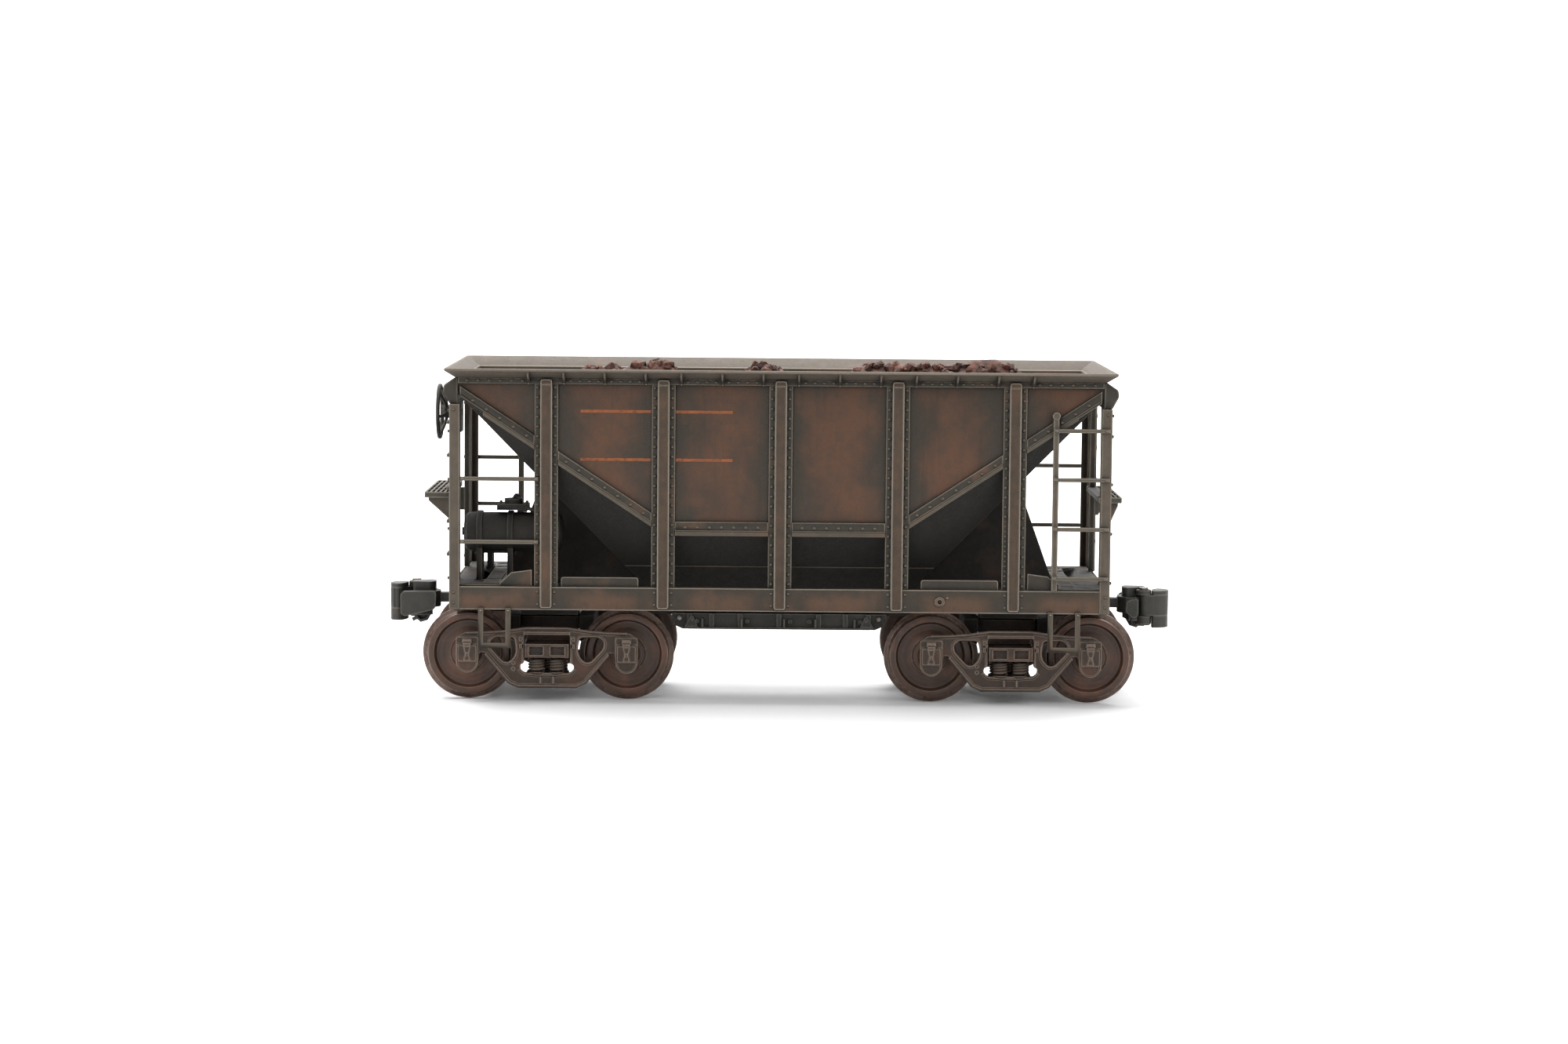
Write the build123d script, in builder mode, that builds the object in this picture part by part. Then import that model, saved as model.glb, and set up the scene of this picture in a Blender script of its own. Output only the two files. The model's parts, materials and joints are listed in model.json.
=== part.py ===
from build123d import *
import math
import os

# Model hopper car, an ore car to 1:48 (O scale). Millimetres.
# +X runs along the car, +Y across it, +Z up. The origin is under the middle of
# the car, level with the lowest point of the wheel flanges.

# ---------------------------------------------------------------- driving dimensions
END_X = 70.1            # outer face of the corner posts
BODY_X = 68.3           # outer face of the hopper's end sheets
SIDE_Y = 24.5           # outer face of the side sheets
POST_Y = 25.76          # outer plane of posts and ladders
SHEET = 0.9             # thickness of the hopper sheets
BODY_TOP = 69.6         # top of the hopper sheets, where the coping begins
COPING_X = 70.9         # tip of the flared coping, lengthwise
COPING_Y = 29.35        # tip of the flared coping, sideways
COPING_TOP = 71.7
LIP = 0.5               # upright edge of the coping's tip

POST_PITCH = 24.8       # spacing of the five side posts
POST_HALF = 1.1         # half width of a post's crown
POST_FLANGE_HALF = 2.5  # half width over a post's riveting flanges
FLANGE_Y = 24.96        # outer face of those flanges
BAND_Y = 25.1           # outer face of the riveted bands
BAND_HEIGHT = 2.6
SEAM_Z = 39.4           # top of the band along the middle of the side
SEAM_X = 24.5           # where that band turns up towards the corner
BAND_RISE = 0.6537      # rise of the diagonal band for each mm along the car

SILL_BOTTOM = 20.4
SILL_TOP = 25.3
SILL_Y = 25.5
FLOOR_TOP = 25.6        # top of the end platforms

POCKET_X = 22.6         # half length of the discharge opening
POCKET_Y = 8.2          # half width of the discharge opening
POCKET_Z = 18.0
CREASE_Y = 17.0         # fold between the upper and the steeper lower sheet
CREASE_Z = 29.1
SLOPE_TOP = 66.0        # where the end slope sheet meets the end sheet
EAVE_Z = 37.5           # lower edge of the side sheet

TRUCK_X = 49.6          # truck centre to car centre
AXLE_X = 17.03          # axle to truck centre
AXLE_Z = 10.0
TREAD_R = 8.73
FLANGE_R = 10.0
FRAME_Y = 19.0          # inner face of a truck side frame
JOURNAL_R = 0.8
RUN_GAP = 0.06          # radial clearance of a running fit
CENTRE_PLATE_Z = 19.0   # where the car body rests on a truck

HOOK_Z = 20.2           # height of the coupler's centre line
DRAFT_X = 63.0          # pivot of the coupler shank
KNUCKLE_X = 79.6
KNUCKLE_Y = -3.0

WHEEL_Y = 7.0           # hand-brake wheel
WHEEL_Z = 60.4

TINY = 0.05


# ---------------------------------------------------------------- helpers
def side_plane(y):
    """Plane at a given Y whose sketch coordinates are (X, Z); extrudes towards -Y."""
    return Plane(origin=(0, y, 0), x_dir=(1, 0, 0), z_dir=(0, -1, 0))


def end_plane(x):
    """Plane at a given X whose sketch coordinates are (Y, Z); extrudes towards +X."""
    return Plane(origin=(x, 0, 0), x_dir=(0, 1, 0), z_dir=(1, 0, 0))


def block(low, high, mode=Mode.ADD):
    """A box between two corners, in the open part."""
    size = [b - a for a, b in zip(low, high)]
    centre = [(a + b) / 2 for a, b in zip(low, high)]
    with Locations(tuple(centre)):
        Box(*size, mode=mode)


def prism(plane, points, depth, mode=Mode.ADD):
    """A polygon on a plane, extruded, in the open part."""
    with BuildSketch(plane) as shape:
        with BuildLine():
            Polyline(*points, close=True)
        make_face()
    extrude(shape.sketch, amount=depth, mode=mode)


def rod(start, direction, length, radius, mode=Mode.ADD):
    """A round bar from a point along a direction, in the open part."""
    with BuildSketch(Plane(origin=start, z_dir=direction)) as shape:
        Circle(radius)
    extrude(shape.sketch, amount=length, mode=mode)


def slope_x(z):
    """X of the end slope sheet's outer face at a height."""
    return POCKET_X + (z - POCKET_Z) * (BODY_X - POCKET_X) / (SLOPE_TOP - POCKET_Z)


def band_top(x):
    """Height of the diagonal band's upper edge at a distance from the middle."""
    return SEAM_Z + max(0.0, abs(x) - SEAM_X) * BAND_RISE


def cut_plane(a, b, c, inside):
    """Plane through three points with its normal away from a point inside."""
    a, b, c, inside = Vector(*a), Vector(*b), Vector(*c), Vector(*inside)
    normal = (b - a).cross(c - a)
    if normal.dot(inside - a) > 0:
        normal = normal * -1
    return Plane(origin=a, x_dir=(b - a), z_dir=normal)


def save(piece, name):
    piece.part.label = name
    export_step(piece.part, "parts/" + name + ".step")


os.makedirs("parts", exist_ok=True)

# ---------------------------------------------------------------- hopper
MIDDLE = (0, 0, 50)
CREASE_X = slope_x(CREASE_Z)

BEAM_LOW = (-56, -4.5, 19.6)
BEAM_HIGH = (56, 4.5, SILL_TOP)
with BuildPart() as beam_room:
    block(BEAM_LOW, BEAM_HIGH)

with BuildPart() as hopper_shell:
    with BuildSketch(Plane.XZ):
        with BuildLine():
            Polyline(
                (-BODY_X, BODY_TOP),
                (-BODY_X, SLOPE_TOP),
                (-POCKET_X, POCKET_Z),
                (POCKET_X, POCKET_Z),
                (BODY_X, SLOPE_TOP),
                (BODY_X, BODY_TOP),
                close=True,
            )
        make_face()
    extrude(amount=SIDE_Y, both=True)
    for side in (-1, 1):
        eave = (0, side * SIDE_Y, EAVE_Z)
        crease = (0, side * CREASE_Y, CREASE_Z)
        foot = (0, side * POCKET_Y, POCKET_Z)
        along = (10, side * CREASE_Y, CREASE_Z)
        split(bisect_by=cut_plane(eave, crease, along, MIDDLE), keep=Keep.BOTTOM)
        split(bisect_by=cut_plane(crease, foot, along, MIDDLE), keep=Keep.BOTTOM)
        for end in (-1, 1):
            top = (end * BODY_X, side * SIDE_Y, SLOPE_TOP)
            knee = (end * SEAM_X, side * SIDE_Y, EAVE_Z)
            low = (end * CREASE_X, side * CREASE_Y, CREASE_Z)
            split(bisect_by=cut_plane(top, knee, low, MIDDLE), keep=Keep.BOTTOM)
    mouths = [hopper_shell.faces().sort_by(Axis.Z)[0], hopper_shell.faces().sort_by(Axis.Z)[-1]]
    offset(amount=-SHEET, openings=mouths)
    add(beam_room.part, mode=Mode.SUBTRACT)
save(hopper_shell, "hopper_shell")

# ---------------------------------------------------------------- coping and its trim
FLARE_BOTTOM_X = BODY_X + 0.6
with BuildPart() as coping_rim:
    with BuildSketch(Plane.XY.offset(BODY_TOP)):
        Rectangle(2 * FLARE_BOTTOM_X, 2 * BAND_Y)
    with BuildSketch(Plane.XY.offset(COPING_TOP - LIP)):
        Rectangle(2 * COPING_X, 2 * COPING_Y)
    loft()
    with BuildSketch(Plane.XY.offset(COPING_TOP - LIP)):
        Rectangle(2 * COPING_X, 2 * COPING_Y)
    extrude(amount=LIP)
    with BuildSketch(Plane.XY.offset(BODY_TOP)):
        Rectangle(2 * (BODY_X - SHEET), 2 * (SIDE_Y - SHEET))
    with BuildSketch(Plane.XY.offset(COPING_TOP)):
        Rectangle(2 * (COPING_X - LIP), 2 * (COPING_Y - 0.7))
    loft(mode=Mode.SUBTRACT)
save(coping_rim, "coping_rim")

with BuildPart() as side_top_bands:
    block((-BODY_X, SIDE_Y, BODY_TOP - 1.3), (BODY_X, BAND_Y, BODY_TOP))
    mirror(about=Plane.XZ)
save(side_top_bands, "side_top_bands")

POSTS = [POST_PITCH * n for n in (-2, -1, 0, 1, 2)]
BAYS = [POST_PITCH * n for n in (-1.5, -0.5, 0.5, 1.5)]
RIB_OFFSET = 3.75
RIBS = sorted([x + s * RIB_OFFSET for x in POSTS for s in (-1, 1)] + BAYS)
with BuildPart() as rim_ribs:
    flare_rise = (COPING_TOP - LIP - BODY_TOP) / (COPING_Y - BAND_Y)
    rib_y = COPING_Y - 0.4
    rib_z = BODY_TOP + flare_rise * (rib_y - BAND_Y)
    for x in RIBS:
        rib_outline = [(BAND_Y, BODY_TOP - 1.3), (BAND_Y, BODY_TOP), (rib_y, rib_z), (rib_y, rib_z - 0.4)]
        prism(end_plane(x - 0.25), rib_outline, 0.5)
    mirror(about=Plane.XZ)
save(rim_ribs, "rim_ribs")

# ---------------------------------------------------------------- side frame of the body
with BuildPart() as side_posts:
    for x in POSTS:
        block((x - POST_FLANGE_HALF, SIDE_Y, SILL_TOP), (x + POST_FLANGE_HALF, FLANGE_Y, BODY_TOP - 1.3))
        block((x - POST_HALF, SIDE_Y, SILL_TOP), (x + POST_HALF, POST_Y, BODY_TOP - 1.3))
        block((x - POST_HALF, SILL_Y, 20.8), (x + POST_HALF, POST_Y, SILL_TOP))
        block((x - 0.7, SIDE_Y - TINY, SILL_TOP + 1), (x + 0.7, FLANGE_Y, 67.0), mode=Mode.SUBTRACT)
    mirror(about=Plane.XZ)
save(side_posts, "side_posts")

with BuildPart() as diagonal_bands:
    for left, right in zip(POSTS[:-1], POSTS[1:]):
        x0 = left + POST_FLANGE_HALF
        x1 = right - POST_FLANGE_HALF
        upper = [(x0, band_top(x0)), (x1, band_top(x1))]
        lower = [(x1, band_top(x1) - BAND_HEIGHT), (x0, band_top(x0) - BAND_HEIGHT)]
        prism(side_plane(BAND_Y), upper + lower, BAND_Y - SIDE_Y - 0.001)
    x0 = POSTS[-1] + POST_FLANGE_HALF
    x1 = BODY_X - 0.45
    upper = [(x0, band_top(x0)), (x1, band_top(x1))]
    lower = [(x1, band_top(x1) - BAND_HEIGHT), (x0, band_top(x0) - BAND_HEIGHT)]
    prism(side_plane(BAND_Y), upper + lower, BAND_Y - SIDE_Y - 0.001)
    prism(side_plane(BAND_Y), [(-x, z) for x, z in upper + lower], BAND_Y - SIDE_Y - 0.001)
    mirror(about=Plane.XZ)
save(diagonal_bands, "diagonal_bands")

SILL_END = 67.9
with BuildPart() as side_sills:
    block((-SILL_END, 24.7, SILL_BOTTOM), (SILL_END, SILL_Y, SILL_TOP))
    block((-SILL_END, 22.6, SILL_BOTTOM), (SILL_END, 24.7, SILL_BOTTOM + 0.6))
    block((-SILL_END, 22.6, SILL_TOP - 0.6), (SILL_END, 24.7, SILL_TOP))
    mirror(about=Plane.XZ)
save(side_sills, "side_sills")

CORNER_TOP = 64.0
with BuildPart() as corner_posts:
    block((SILL_END, FLANGE_Y, SILL_BOTTOM), (END_X, POST_Y, CORNER_TOP))
    block((69.2, 23.4, SILL_BOTTOM), (END_X, FLANGE_Y, CORNER_TOP))
    mirror(about=Plane.XZ)
    mirror(about=Plane.YZ)
save(corner_posts, "corner_posts")

LEDGE_Y = 25.0
with BuildPart() as ledge_strips:
    with BuildSketch(side_plane(LEDGE_Y)):
        with Locations(((30.0 + 46.4) / 2, SILL_TOP + 0.9)):
            RectangleRounded(46.4 - 30.0, 2.4, 0.5)
        with Locations(((30.0 + 46.4) / 2, SILL_TOP - 1.5)):
            Rectangle(20, 3, mode=Mode.SUBTRACT)
    extrude(amount=LEDGE_Y - SIDE_Y)
    mirror(about=Plane.XZ)
    mirror(about=Plane.YZ)
save(ledge_strips, "ledge_strips")

with BuildPart() as sill_gussets:
    plate = [(52.6, SILL_TOP), (59.4, SILL_TOP), (59.4, 26.0), (57.0, 28.3), (52.6, 28.9)]
    prism(side_plane(LEDGE_Y), plate, LEDGE_Y - SIDE_Y)
    mirror(about=Plane.XZ)
    mirror(about=Plane.YZ)
save(sill_gussets, "sill_gussets")

# ---------------------------------------------------------------- ends of the body
DRAFT_HALF = 4.6
DRAFT_LOW = 17.6
DRAFT_HIGH = 22.8
with BuildPart() as end_sills:
    block((SILL_END, -FLANGE_Y, SILL_BOTTOM), (69.2, FLANGE_Y, SILL_TOP))
    block((69.2, -23.4, SILL_BOTTOM), (END_X, 23.4, SILL_TOP))
    block((SILL_END - 1, -DRAFT_HALF, 10), (END_X + 1, DRAFT_HALF, DRAFT_HIGH), mode=Mode.SUBTRACT)
    mirror(about=Plane.YZ)
save(end_sills, "end_sills")

with BuildPart() as end_chords:
    chord = [
        (BODY_X, CORNER_TOP), (END_X, CORNER_TOP), (71.5, 66.6),
        (71.3, 68.0), (68.9, BODY_TOP), (BODY_X, BODY_TOP),
    ]
    prism(side_plane(BAND_Y), chord, 2 * BAND_Y)
    mirror(about=Plane.YZ)
save(end_chords, "end_chords")

END_POST_Y = 13.0
POST_IN = 68.8
POST_OUT = 70.0
with BuildPart() as end_posts:
    for y in (-END_POST_Y, END_POST_Y):
        block((POST_IN, y - 0.75, FLOOR_TOP), (POST_OUT, y + 0.75, CORNER_TOP))
    mirror(about=Plane.YZ)
save(end_posts, "end_posts")

FLOOR_X = 57.5
with BuildPart() as end_platforms:
    block((FLOOR_X, -24.4, SILL_TOP), (69.2, 24.4, FLOOR_TOP))
    with BuildSketch(Plane.XY.offset(SILL_TOP - 0.1)):
        for y in (-19.5, -13.0, 13.0, 19.5):
            with Locations((61.5, y)):
                SlotOverall(3.4, 1.8)
    extrude(amount=1, mode=Mode.SUBTRACT)
    mirror(about=Plane.YZ)
save(end_platforms, "end_platforms")

# slope-sheet braces: two upright plates over the centre sill at each end
BRACE_TOP_Z = 48.0
BRACE_GAP = 0.02
with BuildPart() as brace_plates:
    brace = [
        (slope_x(SILL_TOP) + BRACE_GAP, SILL_TOP),
        (slope_x(BRACE_TOP_Z) + BRACE_GAP, BRACE_TOP_Z),
        (59.3, FLOOR_TOP),
        (FLOOR_X, FLOOR_TOP),
        (FLOOR_X, SILL_TOP),
    ]
    for y in (-3.4, 4.2):
        prism(side_plane(y), brace, 0.8)
    mirror(about=Plane.YZ)
save(brace_plates, "brace_plates")

with BuildPart() as centre_sill:
    block(BEAM_LOW, BEAM_HIGH)
    for side in (-1, 1):
        inner, outer = sorted((side * 0.7, side * (4.5 + TINY)))
        for x0, x1 in ((-43, -31), (31, 43)):
            block((x0, inner, 20.4), (x1, outer, SILL_TOP - 0.8), mode=Mode.SUBTRACT)
    for end in (-1, 1):
        rod((end * TRUCK_X, 0, CENTRE_PLATE_Z), (0, 0, 1), 0.6, 4.2)
        rod((end * TRUCK_X, 0, CENTRE_PLATE_Z - 1), (0, 0, 1), 10, 1.2, mode=Mode.SUBTRACT)
save(centre_sill, "centre_sill")

with BuildPart() as body_bolsters:
    for side in (-1, 1):
        inner, outer = sorted((side * 4.5, side * 22.6))
        block((TRUCK_X - 2.2, inner, 21.2), (TRUCK_X + 2.2, outer, 24.6))
        inner, outer = sorted((side * 4.5, side * 13.0))
        block((TRUCK_X - 6.2, inner, 17.9), (TRUCK_X + 6.2, outer, 21.2))
    mirror(about=Plane.YZ)
save(body_bolsters, "body_bolsters")

PIN_HEAD_Z = SILL_TOP
with BuildPart() as king_pins:
    rod((TRUCK_X, 0, 12.0), (0, 0, 1), PIN_HEAD_Z - 12.0, 1.2)
    rod((TRUCK_X, 0, PIN_HEAD_Z), (0, 0, 1), 1.0, 2.0)
    rod((TRUCK_X, 0, 11.4), (0, 0, 1), 0.6, 1.2)
    mirror(about=Plane.YZ)
save(king_pins, "king_pins")


# ---------------------------------------------------------------- ladders, grab irons and steps
def turned(piece):
    """The same piece and its copy turned half round the car's upright axis."""
    with BuildPart() as pair:
        add(piece.part)
        add(piece.part.rotate(Axis.Z, 180))
    return pair


RUNG_LEVELS = [59.4, 49.0, 38.5, 28.0]
RUNG_OUT = 26.4
with BuildPart() as one_ladder:
    block((57.6, -POST_Y, SILL_TOP), (58.9, -BAND_Y, 62.4))
    rod((58.25, -BAND_Y, 62.4), (0, -1, 0), POST_Y - BAND_Y, 0.65)
    for z in RUNG_LEVELS:
        block((57.7, -RUNG_OUT, z - 0.35), (69.7, -POST_Y, z + 0.35))
side_ladders = turned(one_ladder)
save(side_ladders, "side_ladders")

with BuildPart() as one_grab_set:
    for z in (48.2, 34.8):
        block((-SILL_END, -25.62, z - 0.35), (-51.2, -FLANGE_Y, z + 0.35))
side_grab_irons = turned(one_grab_set)
save(side_grab_irons, "side_grab_irons")

with BuildPart() as one_end_ladder:
    for z in (32.0, 39.0, 46.0, 53.0, 60.0):
        block((-70.7, -24.6, z - 0.35), (-END_X, -16.6, z + 0.35))
    block((-70.6, -17.6, SILL_TOP), (-END_X + TINY, -16.6, CORNER_TOP))
end_ladders = turned(one_end_ladder)
save(end_ladders, "end_ladders")

STEP_BOTTOM = 12.2
STEP_TOP = 20.8
with BuildPart() as stirrup_steps:
    block((57.0, SILL_Y, STEP_BOTTOM), (63.9, SILL_Y + 0.65, STEP_TOP))
    block((58.1, SILL_Y - 1, STEP_BOTTOM + 1.1), (62.8, SILL_Y + 2, STEP_TOP + 1), mode=Mode.SUBTRACT)
    mirror(about=Plane.XZ)
    mirror(about=Plane.YZ)
save(stirrup_steps, "stirrup_steps")

TREAD_TOP = 44.5
TREAD_LOW = TREAD_TOP - 1.3
TREAD_HALF = 16.0
TIP_A = -76.2           # outer edge of the step at the hand-brake end
TIP_B = 73.3            # the step at the other end stands closer in
with BuildPart() as end_steps:
    block((TIP_A, -TREAD_HALF, TREAD_LOW), (-70.7, TREAD_HALF, TREAD_TOP))
    block((68.4, -TREAD_HALF, TREAD_LOW), (TIP_B, TREAD_HALF, TREAD_TOP))
    for x in (TIP_A + 0.9, TIP_A + 2.0, TIP_A + 3.1, TIP_A + 4.2, 70.5, 71.6):
        slot = TREAD_HALF - 0.8
        block((x, -slot, TREAD_TOP - 2), (x + 0.6, slot, TREAD_TOP + 1), mode=Mode.SUBTRACT)
    for y in (-END_POST_Y, END_POST_Y):
        block((68.0, y - 0.8, TREAD_LOW - 1), (POST_OUT + TINY, y + 0.8, TREAD_TOP + 1), mode=Mode.SUBTRACT)
save(end_steps, "end_steps")

with BuildPart() as step_brackets:
    for tip, sign in ((-TIP_A, -1), (TIP_B, 1)):
        low = 38.2
        outline = [
            (POST_OUT, TREAD_LOW), (tip - 0.6, TREAD_LOW), (tip - 0.6, TREAD_LOW - 0.7),
            (POST_OUT + 0.8, low), (POST_OUT, low),
        ]
        for y in (-END_POST_Y + 0.4, END_POST_Y + 0.4):
            prism(side_plane(y), [(sign * x, z) for x, z in outline], 0.8)
save(step_brackets, "step_brackets")

# ---------------------------------------------------------------- brake gear
with BuildPart() as brake_housing:
    block((-72.2, WHEEL_Y - 2.4, 56.0), (-70.0, WHEEL_Y + 2.9, 63.2))
    fillet(brake_housing.faces().sort_by(Axis.X)[0].edges(), 0.6)
    rod((-72.4, WHEEL_Y, WHEEL_Z), (1, 0, 0), 3, 0.7 + RUN_GAP, mode=Mode.SUBTRACT)
save(brake_housing, "brake_housing")

with BuildPart() as brake_shaft:
    rod((-74.3, WHEEL_Y, WHEEL_Z), (1, 0, 0), 3.5, 0.7)
save(brake_shaft, "brake_shaft")

RIM_R = 5.65
RIM_X = -74.9
HUB_X = -73.4
with BuildPart() as brake_wheel:
    with BuildSketch(Plane(origin=(RIM_X, WHEEL_Y, WHEEL_Z), x_dir=(1, 0, 0), z_dir=(0, -1, 0))):
        with Locations((0, RIM_R)):
            Circle(0.5)
    revolve(axis=Axis((0, WHEEL_Y, WHEEL_Z), (1, 0, 0)))
    rod((HUB_X - 0.8, WHEEL_Y, WHEEL_Z), (1, 0, 0), 1.6, 1.5)
    for spoke in range(6):
        turn = math.radians(60 * spoke + 10)
        direction = Vector(0, math.cos(turn), math.sin(turn))
        hub = Vector(HUB_X, WHEEL_Y, WHEEL_Z) + direction * 1.1
        tip = Vector(RIM_X, WHEEL_Y, WHEEL_Z) + direction * RIM_R
        rod(hub, tip - hub, (tip - hub).length, 0.35)
    rod((-76.0, WHEEL_Y, WHEEL_Z), (1, 0, 0), 4, 0.7, mode=Mode.SUBTRACT)
save(brake_wheel, "brake_wheel")

TANK_Y = -12.0
TANK_Z = 35.8
TANK_R = 4.2
with BuildPart() as air_reservoir:
    rod((-67.9, TANK_Y, TANK_Z), (1, 0, 0), 21.2, TANK_R)
    chamfer(air_reservoir.edges().filter_by(GeomType.CIRCLE), 1.2)
save(air_reservoir, "air_reservoir")

with BuildPart() as reservoir_straps:
    for x in (-64.5, -57.9, -50.6):
        rod((x - 0.6, TANK_Y, TANK_Z), (1, 0, 0), 1.2, TANK_R + 0.35)
        rod((x - 1.0, TANK_Y, TANK_Z), (1, 0, 0), 2.0, TANK_R, mode=Mode.SUBTRACT)
    for x in (-64.5, -57.9):
        block((x - 0.6, TANK_Y - 3.0, FLOOR_TOP), (x + 0.6, TANK_Y + 3.0, TANK_Z - 3.0))
        rod((x - 1.0, TANK_Y, TANK_Z), (1, 0, 0), 2.0, TANK_R, mode=Mode.SUBTRACT)
save(reservoir_straps, "reservoir_straps")

with BuildPart() as control_valve:
    block((-60.8, TANK_Y - 2.4, 40.6), (-54.0, TANK_Y + 2.4, 41.9))
    rod((-57.4, TANK_Y, 41.9), (0, 0, 1), 1.1, 1.9)
    block((-56.2, TANK_Y - 1.4, 39.2), (-54.4, TANK_Y + 1.4, 40.6))
    rod((-70.0, TANK_Y, TANK_Z), (1, 0, 0), 25, TANK_R + 0.35, mode=Mode.SUBTRACT)
save(control_valve, "control_valve")

CYLINDER_Y = 11.0
CYLINDER_Z = 32.4
with BuildPart() as brake_cylinder:
    rod((-66.5, CYLINDER_Y, CYLINDER_Z), (1, 0, 0), 11.5, 3.6)
    rod((-67.1, CYLINDER_Y, CYLINDER_Z), (1, 0, 0), 1.0, 4.2)
    rod((-55.0, CYLINDER_Y, CYLINDER_Z), (1, 0, 0), 4.0, 0.8)
    for x in (-64.0, -58.6):
        block((x - 0.6, CYLINDER_Y - 2.4, FLOOR_TOP), (x + 0.6, CYLINDER_Y + 2.4, CYLINDER_Z - 2))
save(brake_cylinder, "brake_cylinder")

# ---------------------------------------------------------------- discharge doors
FRAME_IN = 7.4
FRAME_OUT = 8.2
HINGE_X = 21.6
HINGE_Z = 17.0
HINGE_R = 0.5
with BuildPart() as door_frame:
    web = [(-21.0, 14.6), (21.0, 14.6), (22.8, 15.4), (22.8, POCKET_Z), (-22.8, POCKET_Z), (-22.8, 15.4)]
    prism(side_plane(FRAME_OUT), web, FRAME_OUT - FRAME_IN)
    block((-21.0, FRAME_OUT, 14.6), (21.0, 8.7, 15.1))
    for x in (-19.4, -14.6, -8.4, 0.0, 8.6, 14.4, 19.4):
        block((x - 0.5, FRAME_OUT, 15.1), (x + 0.5, 8.7, POCKET_Z))
    mirror(about=Plane.XZ)
    for end in (-1, 1):
        low_x, high_x = sorted((end * 22.65, end * 23.3))
        block((low_x, -FRAME_OUT, 16.0), (high_x, FRAME_OUT, POCKET_Z))
        rod((end * HINGE_X, 10, HINGE_Z), (0, -1, 0), 20, HINGE_R, mode=Mode.SUBTRACT)
save(door_frame, "door_frame")

with BuildPart() as door_hinge_pins:
    rod((HINGE_X, 8.9, HINGE_Z), (0, -1, 0), 17.8, HINGE_R)
    mirror(about=Plane.YZ)
save(door_hinge_pins, "door_hinge_pins")


def door(name, end):
    """One door leaf with its hinge barrel, at the -X (-1) or +X (1) end."""
    with BuildPart() as leaf:
        low_x, high_x = sorted((end * (HINGE_X - 0.6), end * 0.15))
        block((low_x, -7.1, 16.6), (high_x, 7.1, 17.3))
        for y in (-4.5, 0.0, 4.5):
            block((low_x, y - 0.4, 15.6), (high_x, y + 0.4, 16.6))
        rod((end * HINGE_X, 7.1, HINGE_Z), (0, -1, 0), 14.2, 0.9)
        rod((end * HINGE_X, 9, HINGE_Z), (0, -1, 0), 18, HINGE_R + RUN_GAP, mode=Mode.SUBTRACT)
    save(leaf, name)


door("door_leaf_a", -1)
door("door_leaf_b", 1)

# ---------------------------------------------------------------- ore load insert
ORE_BOTTOM = 62.0
ORE_SHELF = 67.2
with BuildPart() as ore_load:
    with BuildSketch(Plane.XY.offset(ORE_BOTTOM)):
        Rectangle(2 * 61.6, 2 * 22.9)
    with BuildSketch(Plane.XY.offset(65.8)):
        Rectangle(2 * 65.4, 2 * 23.2)
    loft()
    with BuildSketch(Plane.XY.offset(65.8)):
        Rectangle(2 * 65.4, 2 * 23.2)
    extrude(amount=ORE_SHELF - 65.8)
    for x, y, radius, rise in ((-32.0, 0.0, 12.5, 5.0), (-3.0, -1.0, 9.0, 4.4), (33.0, 1.0, 17.0, 5.6)):
        ball = (radius * radius + rise * rise) / (2 * rise)
        with Locations((x, y, ORE_SHELF + rise - ball)):
            Sphere(ball)
    split(bisect_by=Plane.XY.offset(ORE_BOTTOM), keep=Keep.TOP)
save(ore_load, "ore_load")


# ---------------------------------------------------------------- trucks
def truck_bolster(name, cx):
    with BuildPart() as bolster:
        block((cx - 4.7, -21.4, 9.6), (cx + 4.7, 21.4, 12.6))
        block((cx - 4.7, -14.0, 12.6), (cx + 4.7, 14.0, 14.2))
        block((cx - 6.2, -7.0, 14.2), (cx + 6.2, 7.0, 17.0))
        rod((cx, 0, 17.0), (0, 0, 1), CENTRE_PLATE_Z - 17.0, 3.9)
        rod((cx, 0, 5.0), (0, 0, 1), 20, 1.2 + RUN_GAP, mode=Mode.SUBTRACT)
        for y in (-21.4, 20.6):
            for x in (cx - 2.3, cx + 2.3):
                low_y = y - TINY if y < 0 else y
                block((x - 1.5, low_y, 10.2), (x + 1.5, low_y + 0.8 + TINY, 12.0), mode=Mode.SUBTRACT)
    save(bolster, name)


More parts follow.
